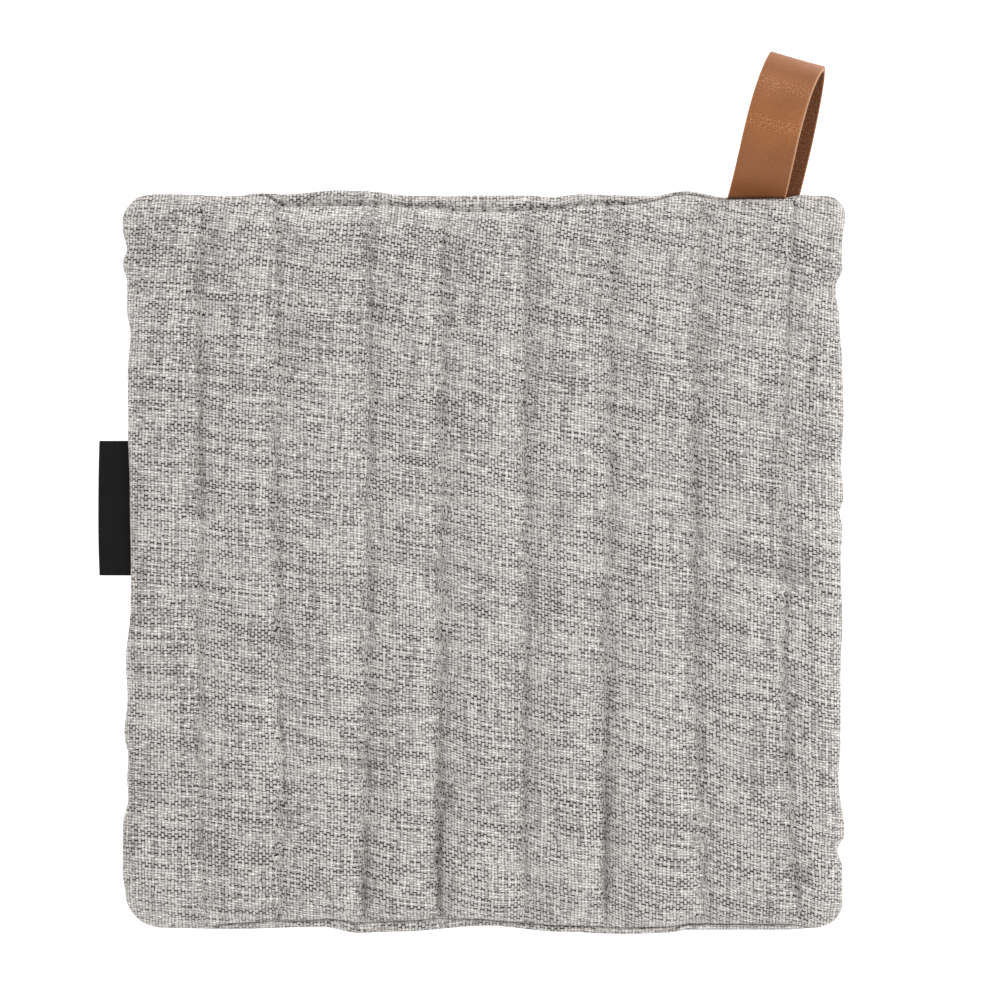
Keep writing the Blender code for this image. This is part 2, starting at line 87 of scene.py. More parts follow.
# Places along each edge, and how far it stands out there.
EDGES = {
    "left": (
        (-93.2, 0.0), (-85.4, 0.8), (-73.2, 0.7), (-66.0, -0.8), (-60.4, -0.5), (-53.7, -0.8),
        (-48.2, 0.3), (-38.2, -0.6), (-27.6, -0.1), (-13.7, -1.4), (-2.1, -1.6), (20.1, -1.3),
        (36.8, -0.8), (51.8, -0.6), (63.2, -1.4), (70.7, -0.3), (77.4, -0.5), (82.9, 0.8),
        (86.8, -0.4), (92.6, 0.8),
    ),
    "right": (
        (-93.8, -0.3), (-85.7, -0.3), (-80.4, -1.7), (-75.7, 0.3), (-61.0, -1.4), (-50.7, -0.8),
        (-27.1, -0.8), (-17.4, -0.3), (0.7, -0.8), (9.0, -0.3), (13.7, -1.1), (17.9, 0.0),
        (26.8, -0.6), (41.8, 0.0), (54.3, -0.3), (66.8, -1.1), (76.5, -2.2), (81.8, -0.3),
        (89.6, -0.3), (96.2, 0.5),
    ),
    "bottom": (
        (-89.6, -1.1), (-70.4, -0.8), (-45.1, -1.4), (-35.1, 0.3), (-23.5, -0.1), (0.7, -1.7),
        (21.5, 0.0), (39.0, 0.6), (50.1, 0.3), (57.1, -0.6), (83.5, -0.6), (91.8, -1.1),
    ),
    "top": (
        (-86.8, -0.3), (-70.1, -0.8), (-61.3, 0.0), (-55.1, -0.3), (-41.5, 0.8), (-34.0, 0.6),
        (-19.3, -0.7), (11.3, -0.6), (18.8, -1.1), (26.5, -0.3), (46.5, -0.8), (55.7, 0.6),
        (67.1, -1.1), (89.0, -0.7),
    ),
}

# Places along each edge, and how far in from it the seam lies there: the back cloth rolls up
# round the edge to meet it.
UNROLLED = ((-95, 0.1), (95, 0.1))
ROLLS = {
    "left": UNROLLED,
    "right": UNROLLED,
    "bottom": (
        (-80, 0.1), (-70, 1.7), (-60, 2.1), (-51, 1.8), (-37, 3.0), (-16, 3.1), (-3, 2.1),
        (5, 1.5), (20, 1.9), (60, 1.8), (84, 1.6), (93, 0.1),
    ),
    "top": (
        (-68, 0.1), (-61, 0.9), (-56, 3.3), (-40, 4.3), (-26, 3.3), (-16, 3.2), (-5, 4.5),
        (6, 4.5), (19, 3.4), (38, 2.6), (52, 1.1), (82, 0.9), (88, 0.1),
    ),
}
FULL_ROLL = 1.6  # the least inset at which the back cloth's roll is at its full height

SIDES, ENDS = ("left", "right"), ("bottom", "top")
NEXT_EDGES = {"left": ENDS, "right": ENDS, "bottom": SIDES, "top": SIDES}
HALF_SIZES = dict.fromkeys(SIDES, PAD_LENGTH / 2) | dict.fromkeys(ENDS, PAD_WIDTH / 2)
CORNER_RADII = {
    ("left", "top"): 8.0,
    ("right", "top"): 6.0,
    ("right", "bottom"): 8.5,
    ("left", "bottom"): 11.0,
}

# A sewn channel: where its stitches cross the foot, middle and head of the pad, and how deep they
# draw the face in at those three places.
Channel = namedtuple("Channel", "x_foot x_middle x_head deep_foot deep_middle deep_head")

CHANNELS = table(
    Channel,
    (-78.2, -79.0, -79.0, 1.9, 2.4, 2.9),
    (-56.4, -57.3, -57.8, 2.1, 2.1, 1.8),
    (-33.2, -32.2, -31.8, 3.4, 2.5, 2.7),
    (-12.8, -12.0, -10.9, 4.2, 2.7, 2.0),
    (10.9, 11.5, 11.0, 2.2, 2.9, 3.0),
    (33.6, 33.9, 35.2, 3.9, 2.9, 2.1),
    (61.0, 58.1, 60.8, 2.2, 3.0, 2.5),
    (86.6, 82.8, 85.2, 1.9, 1.9, 1.4),
)
PILLOW_WIDTH = PAD_WIDTH / (len(CHANNELS) + 1)
TROUGH_ROUND = 0.1  # over 0 rounds the bottom of each channel

# A crease across the face: its middle, its direction in degrees, its length, its half width and
# how deep it is. A negative depth is a fold that stands up.
Crease = namedtuple("Crease", "x y turn length half_width deep")

SOFT_CREASES = table(
    Crease,
    (-16.5, -0.7, -10, 34, 3.2, 1.0),
    (-18.0, 5.0, -10, 30, 3.0, -0.5),
    (75.5, -0.7, -20, 34, 3.4, 1.0),
    (73.0, 5.5, -18, 28, 3.0, -0.5),
    (-22.0, 42.2, -15, 22, 3.0, 0.9),
    (39.0, 39.5, -20, 18, 3.0, 0.9),
    (-72.0, 38.0, -14, 16, 3.2, 0.9),
    (-37.5, -56.0, -8, 24, 3.0, 0.8),
    (72.0, 41.0, -5, 34, 3.2, 0.8),
    (89.0, 52.0, 84, 22, 3.0, 1.1),
    (78.5, 26.0, 80, 22, 3.0, 1.0),
    (92.0, -17.0, 0, 14, 2.6, 0.9),
    (92.0, 76.5, 8, 16, 2.4, 1.2),
    (92.0, -80.4, -6, 16, 2.4, 1.2),
    (-92.0, 86.6, 4, 16, 2.2, 1.0),
    (-92.0, -66.0, -4, 18, 2.6, 1.0),
    (-12.4, -64.5, 90, 6, 3.0, 1.4),
)
# Narrow ones, only in the looks: where the cloth is pinched along a channel's foot, and at the
# bottom of the sharpest folds.
TIGHT_CREASES = table(
    Crease,
    (76.0, -1.4, -22, 32, 1.9, 1.3),
    (76.0, 38.6, -12, 34, 1.4, 1.0),
    (55.3, 20.0, 90, 40, 1.9, 1.2),
    (79.3, 22.0, 86, 34, 1.4, 1.0),
    (89.0, 51.0, 82, 22, 1.4, 1.1),
    (-17.0, -1.4, -10, 30, 1.3, 0.8),
    (-36.0, -56.5, -8, 22, 1.2, 0.7),
    (-33.0, -88.0, 90, 34, 0.7, 1.0),
    (-33.2, -94.0, 90, 14, 0.7, 1.2),
    (-12.7, -76.0, 90, 52, 0.7, 1.2),
    (-12.8, -94.0, 90, 14, 0.7, 0.9),
    (-12.4, -68.0, 90, 8, 0.8, 1.2),
    (33.4, -80.0, 90, 40, 0.7, 1.4),
    (-10.6, -65.5, 55, 9, 1.0, 1.6),
    (-15.4, -66.5, -50, 9, 1.6, -0.8),
    (11.0, -60.0, 90, 80, 0.8, 0.6),
    (-79.0, 30.0, 90, 60, 0.8, 0.5),
)
CREASE_TAIL = 1.25

SEAM_HEIGHT = 4.9
# Where something is sewn into the seam: its middle and half width along the edge, the heights of
# the two lips there, and how deep the seam is open.
Opening = namedtuple("Opening", "middle half_width upper_lip lower_lip deep")

SEAM_OPENINGS = {
    "top": Opening(76.8, 10.6, 7.3, 2.3, 5.6),
    "left": Opening(15.1, 19.6, 5.7, 3.0, 4.2),
}
OPENING_FADE = 5.0

# The rim below the front cloth's edge. Rolled rows lie between the seam (share 1) and the edge
# (share 0). Tucked rows lie further in, under the edge.
Rolled = namedtuple("Rolled", "share height")
Tucked = namedtuple("Tucked", "inset height")

ROLLED_ROWS = table(Rolled, (0.97, 4.8), (0.8, 5.2), (0.55, 5.4), (0.3, 5.2), (0.1, 4.7), (0.0, 3.9))
TUCKED_ROWS = table(Tucked, (0.25, 2.9), (0.8, 1.9), (1.6, 1.15), (2.6, 0.62), (4.0, 0.25))
OPENED_EDGE_SHARE = 0.8  # how low the edge lies under an opening, as a share of the lower lip
OPENED_LIP_SHARE = 1 / 3  # the lip bends down to the edge over this share of the roll
CONTACT_INSET = 6.0
GROOVE = 0.12  # how far the seam draws the front cloth's edge in
GROOVE_HEIGHT = 4.6
INSIDE_SEAM = ((4.8, -0.35), (4.65, 0.3))  # the front cloth's heights there, or off the open lips

# The fine grid of the face, and of the underside, which keeps every third line of it.
PILLOW_COLUMNS = 30
ROW_COUNT = 288
COLUMN_CROWDING = 0.6  # how much closer together the columns are beside a channel
ROW_CROWDING = 0.5
UNDER_STEP = 3

# ---------------------- the cloth and its wear

# Smooth noise: how far it goes to either side of 0, the size of its lumps, and its seed.
Lumps = namedtuple("Lumps", "height size_x size_y seed")

LATTICE = 97  # the noise repeats after this many lumps
LATTICE_START = 40.0

CHANNEL_WANDER = Lumps(0.7, 1.0, 9.0, 41)
CHANNELS_APART = 9.0  # so far apart in the noise that each channel wanders on its own
PUCKER = Lumps(0.6, 1.0, 3.75, 3)  # the small folds that the stitches leave beside a channel
FINE_PUCKER = Lumps(0.4, 1.0, 1.8, 5)
FINE_PUCKER_FADE = 4  # how much sooner these fade, as a power
PUCKER_REACH = 6.5
PUCKER_SLANTS = (0.35, -0.15)  # right and left of a channel
PUCKERS_APART = 131.0
PUCKER_DRIFT = 0.04  # how fast the folds change along X
FINE_PUCKER_DRIFT = 1.7
UNEVEN = Lumps(0.45, 17.0, 22.1, 11)  # the wadding
RIPPLE = Lumps(0.12, 5.0, 5.0, 17)

WARP_PITCH = 0.94
WEFT_PITCH = 0.735
WEFT_SLOPES = (  # places along X, and how steeply the wefts fall to the right there
    (-100, 0.04), (-86, 0.06), (-76, 0.13), (-45, 0.13), (-25, 0.16), (-8, 0.19), (25, 0.19),
    (45, 0.22), (75, 0.24), (100, 0.26),
)
SWING = namedtuple("Swing", "foot middle head")(1.0, 0.45, 0.7)  # of that fall across a pillow
WARP_LEAN, WARP_LEAN_FROM = 0.00075, 30.0  # the warps curve over to the right above this height
WARP_DRIFT = Lumps(0.35, 14.0, 22.0, 23)
WEFT_DRIFT = Lumps(0.5, 16.0, 12.0, 29)
BACK_WEAVE_START = (400.5, 0.25)  # the yarns at the middle of the back cloth

STITCH_PITCH = 3.1
STITCH_LENGTH = 2.5
STITCH_CLEAR = 7.0  # how far from the pad's ends the channels' stitches start
STITCH_LIFT = 0.7  # how high a stitch stands, as a share of its thread
STITCH_DIP = 0.35  # how far a stitch holds the cloth down in the channel
STITCH_DIP_REACH = 0.9
STITCH_DIP_EVEN, STITCH_DIP_SWING = 0.55, 0.45  # its mean share, and how far it swings from that
STITCH_ARCH = ((0.12, 0.3), (0.5, 1.0), (0.88, 0.3))  # places along a stitch, and its lift there
THREAD = 0.34  # its thickness
THREAD_SIDES = 6
CLOSING_PITCH = 4.3
CLOSING_FROM, CLOSING_TO = -56.0, 38.0
CLOSING_END = 0.3  # from each hole's middle to the thread's end in it
HOLE_DEPTH = 0.9  # of the dimples between those stitches
HOLE_REACH = 0.75

BAKE_MARGINS = (2.0, 12.0)  # round the face and the back cloth in the export's map
BAKE_SHARES = ((0.0, 0.69), (0.7, 0.3))  # where each starts in its width, and how wide it is

# ---------------------- the loop and the label

STRAP_WIDTH = 15.6
STRAP_THICKNESS = 1.5
STRAP_EDGE_ROUND = 0.3
STRAP_FOOT = (75.4, 101.0, 4.6)
STRAP_LEAN = math.radians(16.7)
STRAP_TUCK = 5.0
STRAP_SECTIONS = 260
STRAP_COLUMNS = 26
STRAP_SHARP = math.radians(60)
GRAIN, CUT, SUEDE = range(3)  # the strap's finishes, in the order of its material slots

# The strap's middle line: along its lean, over and aside of its foot, and its roll in degrees.
Route = namedtuple("Route", "along over aside roll")

STRAP_ROUTE = table(
    Route,
    (-STRAP_TUCK, 0.95, 0.1, 5),
    (0.0, 1.0, 0.0, 5),
    (5.0, 3.4, -0.3, 8),
    (11.0, 6.8, -0.85, 12),
    (18.0, 9.3, -1.45, 14),
    (25.0, 10.4, -1.75, 14),
    (31.0, 10.2, -1.65, 14),
    (35.6, 8.6, -1.2, 12),
    (38.4, 6.1, -0.6, 8),
    (39.3, 3.6, -0.1, 4),
    (38.0, 1.2, 0.45, 0),
    (34.6, -0.4, 1.2, -3),
    (29.0, -1.1, 1.95, -4),
    (20.0, -1.2, 2.8, -4),
    (10.0, -1.1, 3.4, -2),
    (0.0, -0.95, 3.75, 3),
    (-STRAP_TUCK, -0.95, 3.8, 4),
)

LABEL_TOP = 33.8
LABEL_BOTTOM = -3.6
LABEL_EDGE = -107.4  # the fold's place along X
LABEL_TUCK = -95.2  # where its sewn ends stop
LABEL_HEIGHT = 4.1  # of its middle, in the seam
LABEL_DROOP = 0.8  # how far its fold hangs below that
LABEL_WAVE = 0.25  # how far the fold waves up and down
LABEL_WAVES = 1.3
LABEL_BOW = 0.35  # how far the fold bows out at its middle
TAPE_THICKNESS = 0.42
TAPE_APART = 0.74  # between the middles of the folded tape's two layers
TAPE_SHARP = math.radians(50)
TAPE_STEPS, TAPE_FOLD_STEPS = 8, 12
LABEL_ROWS = 90
TAPE_END_STEP = 0.1  # between the points of the tape's two ends in its map

# -------------------------- camera and light

PHOTO_PITCH = 1 / 3.6  # mm of the pad to a pixel of the photograph
PHOTO_SIZE = 1000
PHOTO_MIDDLE = (4.3, 17.36)  # what lies in the middle of the photograph
SCALE_HEIGHT = 4.0  # the height at which that scale holds
CAMERA_HEIGHT = 1200.0
SENSOR = 36.0

Lamp = namedtuple("Lamp", "name place size energy")

LAMPS = (
    Lamp("key", (1.85, 0.6, 1.8), 1.4, 26.5),
    Lamp("top", (-0.6, 1.9, 2.4), 1.0, 15.0),
)
SKY_STRENGTH = 0.72
FLOOR_GLOW = 0.7
# The floor's radius and height in metres, out to its curved rim.
FLOOR_RINGS = ((2.5, -0.00003), (2.7, 0.03), (2.85, 0.11), (2.95, 0.25), (3.0, 0.45), (3.02, 0.7))
FLOOR_SIDES = 96


# ------------------------------- small helpers


def smooth(share):
    share = np.clip(share, 0.0, 1.0)
    return share * share * (3 - 2 * share)


def mix(a, b, share):
    return a + (b - a) * share


def lookup(pairs, along):
    """The second values of these pairs at places among their first ones, easing between them."""
    places, values = np.array(pairs).T
    after = np.clip(np.searchsorted(places, along), 1, len(places) - 1)
    before = after - 1
    share = (along - places[before]) / (places[after] - places[before])
    return mix(values[before], values[after], smooth(share))


def lumps(noise, x, y):
    lattice = np.random.default_rng(noise.seed).uniform(-1, 1, (LATTICE, LATTICE))
    gx, gy = x / noise.size_x + LATTICE_START, y / noise.size_y + LATTICE_START
    ix, iy = np.floor(gx).astype(int), np.floor(gy).astype(int)
    fx, fy = smooth(gx - ix), smooth(gy - iy)
    corners = ((0, 0), (1, 0), (0, 1), (1, 1))
    corner = [lattice[(ix + i) % LATTICE, (iy + j) % LATTICE] for i, j in corners]
    return noise.height * mix(mix(corner[0], corner[1], fx), mix(corner[2], corner[3], fx), fy)


def through_three(foot, middle, head, y):
    """A value that is these three at the pad's foot, middle and head."""
    t = 2 * y / PAD_LENGTH
    return middle + t * (head - foot) / 2 + t * t * ((head + foot) / 2 - middle)


def bell(distance, reach):
    """1 at no distance, falling off smoothly over this reach."""
    return np.exp(-((distance / reach) ** 2))


def crowded(count, crowding):
    """Shares from 0 to 1, closer together at both ends."""
    t = np.linspace(0, 1, count + 1)
    return t - crowding * np.sin(2 * np.pi * t) / (2 * np.pi)


def tube_corners(rings, sides):
    """The corners of each face between rings of this many points, as ring and point numbers."""
    for r in range(rings - 1):
        for k in range(sides):
            n = (k + 1) % sides
            yield (r, k), (r, n), (r + 1, n), (r + 1, k)


def numbered(quads, sides):
    """These faces with their corners' numbers in one list of all the rings' points."""
    return [[r * sides + k for r, k in quad] for quad in quads]


def placed(made):
    bpy.context.scene.collection.objects.link(made)
    return made


def new_object(name, mesh, *materials):
    for material in materials:
        mesh.materials.append(material)
    return placed(bpy.data.objects.new(name, mesh))


def new_mesh(name, points, faces, sharp=None):
    """A smooth mesh, apart from edges that turn by more than the sharp angle."""
    mesh = bpy.data.meshes.new(name)
    mesh.from_pydata(points, [], faces)
    mesh.shade_smooth()
    if sharp:
        mesh.set_sharp_from_angle(angle=sharp)
    return mesh


def set_map(mesh, name, places):
    layer = mesh.uv_layers.new(name=name)
    layer.uv.foreach_set("vector", np.ascontiguousarray(places, np.float32).ravel())


# ------------------------------- the pad's form


def seam_at(share):
    """An inset that is this share of the way from the edge to the seam."""
    return lambda side, along: lookup(ROLLS[side], along) * share


def all_round(distance):
    return lambda side, along: np.full_like(along, distance)


def reach(side, along, inset):
    """How far a side stands out, less its inset. Two sides agree where they meet in a corner."""
    half = HALF_SIZES[side]

    def own_at(edge, place):
        return lookup(EDGES[edge], place) - inset(edge, place)

    value = own_at(side, along)
    for sign, other in zip((-1, 1), NEXT_EDGES[side]):
        radius = CORNER_RADII.get((side, other)) or CORNER_RADII[other, side]
        outward = 1 if side in ("right", "top") else -1
        own_end = own_at(side, np.array([half * sign]))[0]
        other_end = own_at(other, np.array([HALF_SIZES[other] * outward]))[0]
        into_corner = smooth((sign * along - half + radius) / radius)
        value = mix(value, (own_end + other_end) / 2, into_corner)
    return value


def side_limits(y, inset):
    return -PAD_WIDTH / 2 - reach("left", y, inset), PAD_WIDTH / 2 + reach("right", y, inset)


def end_limits(x, inset):
    return -PAD_LENGTH / 2 - reach("bottom", x, inset), PAD_LENGTH / 2 + reach("top", x, inset)


def round_corner(x, y):
    """Moves points of the square-cornered pad to their places in the round-cornered one."""
    x, y = x.copy(), y.copy()
    for (side, end), radius in CORNER_RADII.items():
        sign_x = 1 if side == "right" else -1
        sign_y = 1 if end == "top" else -1
        past_x = x * sign_x - (PAD_WIDTH / 2 - radius)
        past_y = y * sign_y - (PAD_LENGTH / 2 - radius)
        inside = (past_x > 0) & (past_y > 0)
        pull = np.maximum(past_x, past_y) / np.maximum(np.hypot(past_x, past_y), TINY)
        x[inside] = (sign_x * (PAD_WIDTH / 2 - radius + past_x * pull))[inside]
        y[inside] = (sign_y * (PAD_LENGTH / 2 - radius + past_y * pull))[inside]
    return x, y


def channel_lines(y):
    """Where the channels lie at these heights: drawn by hand, so they wander a little."""
    lines = []
    for number, c in enumerate(CHANNELS):
        wander = lumps(CHANNEL_WANDER, y * 0 + CHANNELS_APART * number, y)
        lines.append(through_three(c.x_foot, c.x_middle, c.x_head, y) + wander)
    return lines


def from_channel(x, y):
    return np.min([np.abs(x - line) for line in channel_lines(y)], axis=0)


def opened(side, along):
    opening = SEAM_OPENINGS[side]
    return smooth(1 - (np.abs(along - opening.middle) - opening.half_width) / OPENING_FADE)


class Grid:
    """The face's columns and rows: each column's pillow and its share of that pillow's width, and
    each row's share of the pad's length."""

    def __init__(self):
        shares = crowded(PILLOW_COLUMNS, COLUMN_CROWDING)[:-1]
        pillows = len(CHANNELS) + 1
        self.pillow = np.append(np.repeat(np.arange(pillows), PILLOW_COLUMNS), pillows - 1)
        self.share = np.append(np.tile(shares, pillows), 1.0)
        self.row = crowded(ROW_COUNT, ROW_CROWDING)
        self.nominal_y = mix(-PAD_LENGTH / 2, PAD_LENGTH / 2, self.row)
        self.last_column, self.last_row = len(self.pillow) - 1, len(self.row) - 1

    def across(self, lines):
        """Values on the pad's left, its channels and its right, mixed across each pillow."""
        lines = np.array(lines)
        return mix(lines[self.pillow], lines[self.pillow + 1], self.share[:, None]).T

    def place(self, inset):
        """Every point of the square-cornered pad's grid, inside its inset, as rows of columns."""
        left, right = side_limits(self.nominal_y, inset)
        x = self.across([left, *channel_lines(self.nominal_y), right])
        bottom, top = end_limits(x, inset)
        return x, mix(bottom, top, self.row[:, None])

    def border(self):
        """The border points in order round the pad, as row numbers and column numbers."""
        columns, rows = np.arange(self.last_column), np.arange(self.last_row)
        j = np.concatenate([columns * 0, rows, columns * 0 + self.last_row, rows[::-1] + 1])
        i = np.concatenate([columns, rows * 0 + self.last_column, columns[::-1] + 1, rows * 0])
        return j, i


def shoulder(distance):
    share = np.clip(distance / SHOULDER, 0.0, 1.0)
    return np.sqrt(1 - (1 - share) ** 2)


def crease_depth(creases, x, y):
    total = np.zeros_like(x)
    for crease in creases:
        turn = math.radians(crease.turn)
        along = (x - crease.x) * math.cos(turn) + (y - crease.y) * math.sin(turn)
        across = (y - crease.y) * math.cos(turn) - (x - crease.x) * math.sin(turn)
        fade = smooth(CREASE_TAIL - 2 * np.abs(along) / crease.length)
        total += crease.deep * fade * bell(across, crease.half_width)
    return total


def lip_height(x, y):
    """The height of the front cloth's edge, raised over the loop and the label."""
    height = np.full_like(x, SEAM_HEIGHT)
    for side, near, along in (("top", y > 0, x), ("left", x < 0, y)):
        height += near * (SEAM_OPENINGS[side].upper_lip - SEAM_HEIGHT) * opened(side, along)
    return height


def closing_dimples(x):
    """How far the closing stitches pull the top seam down at these places along it."""
    from_hole = (x - CLOSING_FROM + CLOSING_PITCH / 2) % CLOSING_PITCH - CLOSING_PITCH / 2
    sewn = (x > CLOSING_FROM - HOLE_REACH) & (x < CLOSING_TO + HOLE_REACH)
    return sewn * HOLE_DEPTH * bell(from_hole, HOLE_REACH)


def puckers(grid, x, y):
    """The small folds beside the channels' stitches, on each side of each channel."""
    right_of, left_of = PUCKER_SLANTS
    sides = (
        (grid.share * PILLOW_WIDTH, grid.pillow, grid.pillow > 0, right_of),
        ((1 - grid.share) * PILLOW_WIDTH, grid.pillow + 1, grid.pillow < len(CHANNELS), left_of),
    )
    folds = np.zeros_like(x)
    for distance, number, is_channel, slant in sides:
        beside = bell(distance, PUCKER_REACH) * is_channel
        slanted = y + slant * (x - x.mean())
        place = number * PUCKERS_APART + x * PUCKER_DRIFT
        folds += beside * lumps(PUCKER, place, slanted)
        folds += beside**FINE_PUCKER_FADE * lumps(FINE_PUCKER, place * FINE_PUCKER_DRIFT, slanted)
    return folds


def stitch_dips(grid, y):
    """How far the channels' stitches hold the cloth down."""
    distance = np.minimum(grid.share * PILLOW_WIDTH, (1 - grid.share) * PILLOW_WIDTH)
    at_channel = bell(distance, STITCH_DIP_REACH)
    at_channel = at_channel * (grid.pillow + (grid.share > 0.5) > 0)
    stitch = STITCH_DIP_EVEN + STITCH_DIP_SWING * np.cos(2 * np.pi * y / STITCH_PITCH)
    return STITCH_DIP * at_channel * stitch


def pillow_height(grid, x, y):
    """The face's height away from its edges."""
    depths = [through_three(c.deep_foot, c.deep_middle, c.deep_head, grid.nominal_y) for c in CHANNELS]
    none = np.zeros_like(grid.nominal_y)
    depth = grid.across([none, *depths, none])
    leaned = grid.share**PILLOW_LEAN
    crown = (4 * leaned * (1 - leaned)) ** PILLOW_ROUND
    crown = (np.hypot(crown, TROUGH_ROUND) - TROUGH_ROUND) / (math.hypot(1, TROUGH_ROUND) - TROUGH_ROUND)
    height = CREST + np.array(PILLOW_RISE)[grid.pillow] * crown - (1 - crown) * depth
    height -= crease_depth(SOFT_CREASES, x, y) + crease_depth(TIGHT_CREASES, x, y)
    return height + puckers(grid, x, y) + lumps(UNEVEN, x, y) + lumps(RIPPLE, x, y) - stitch_dips(grid, y)


def face_height(grid, x, y):
    left, right = side_limits(y, seam_at(1.0))
    bottom, top = end_limits(x, seam_at(1.0))
    swell = shoulder(np.minimum(x - left, right - x)) * shoulder(np.minimum(y - bottom, top - y))
    low = lip_height(x, y)
    dimples = closing_dimples(x) * bell(top - y, HOLE_REACH)
    return mix(low, np.maximum(pillow_height(grid, x, y), low), swell) - dimples


def underside_height(x, y):
    near = np.maximum(0.0, 1 - from_channel(x, y) / CHANNEL_REACH)
    return CHANNEL_RISE * near**CHANNEL_RISE_CURVE


# ------------------------------ the pad's weave


def weft_fall(grid, x, y):
    """How steeply the wefts fall to the right: most just right of a channel, least before it."""
    swing = through_three(*SWING, y)
    return lookup(WEFT_SLOPES, x) * (1 + swing * (1 - 2 * grid.share))


def arc_along(place, z, axis):
    """The mean length of the face's cloth from its first line to each line along this axis."""
    steps = np.hypot(np.diff(place, axis=axis), np.diff(z, axis=axis))
    return np.append(0, steps.mean(axis=1 - axis).cumsum())


def face_weave(grid, x, y, z):
    """The face's place in its own cloth, counted in warps and wefts."""
    across = arc_along(x, z, 1) + x - x.mean(axis=0)
    along = (arc_along(y, z, 0) - y.mean(axis=1))[:, None] + y
    fall = weft_fall(grid, x, y)
    along[:, 1:] += np.cumsum((fall[:, 1:] + fall[:, :-1]) / 2 * np.diff(x, axis=1), axis=1)
    lean = WARP_LEAN * np.maximum(0, y - WARP_LEAN_FROM) ** 2
    across += lumps(WARP_DRIFT, x, y) - lean
    along += lumps(WEFT_DRIFT, x, y)
    return np.stack([(across / WARP_PITCH).ravel(), (along / WEFT_PITCH).ravel()], axis=1)


def cloth_counts(x, y):
    """The back cloth's place in its own weave, straight to the pad."""
    start_u, start_v = BACK_WEAVE_START
    return np.stack([x.ravel() / WARP_PITCH + start_u, y.ravel() / WEFT_PITCH + start_v], axis=1)


def unrolled(places):
    """The back cloth's weave round the rim: laid out flat, outwards from where it lies down."""
    flat = places[-1, :2]
    away = places[len(ROLLED_ROWS) - 1, :2] - flat
    away = away / np.maximum(np.hypot(*away), TINY)
    steps = np.linalg.norm(np.diff(places[::-1], axis=0), axis=1)
    gone = np.concatenate([np.zeros((1, steps.shape[1])), steps.cumsum(axis=0)])[::-1]
    return [cloth_counts(*(flat + away * distance)) for distance in gone]


def from_sewing(points):
    """Each point's distance from the nearest channel, and from the nearest closing stitch's hole."""
    x, y, z = points.T
    number = np.round((x - CLOSING_FROM) / CLOSING_PITCH)
    last = round((CLOSING_TO - CLOSING_FROM) / CLOSING_PITCH)
    hole_x = CLOSING_FROM + np.clip(number, 0, last) * CLOSING_PITCH
    hole_y = end_limits(x, seam_at(1.0))[1]
    hole = np.sqrt((x - hole_x) ** 2 + (y - hole_y) ** 2 + (z - SEAM_HEIGHT + HOLE_DEPTH) ** 2)
    return np.stack([from_channel(x, y), hole], axis=1)


def bake_places(points, weave, back):
    """A map for the export: the face on the left two thirds, the unrolled back cloth beside it."""
    start_u, _ = BACK_WEAVE_START
    cloth = np.stack([(weave[:, 0] - start_u) * WARP_PITCH, weave[:, 1] * WEFT_PITCH], axis=1)
    maps = []
    for laid, margin, (start, share) in zip((points[:, :2], cloth), BAKE_MARGINS, BAKE_SHARES):
        part = laid / (PAD_WIDTH / 2 + margin, PAD_LENGTH / 2 + margin) * 0.5 + 0.5
        maps.append(part * (share, 1.0) + (start, 0.0))
    return np.where(back[:, None], maps[1], maps[0])


# ------------------------------- the pad's mesh


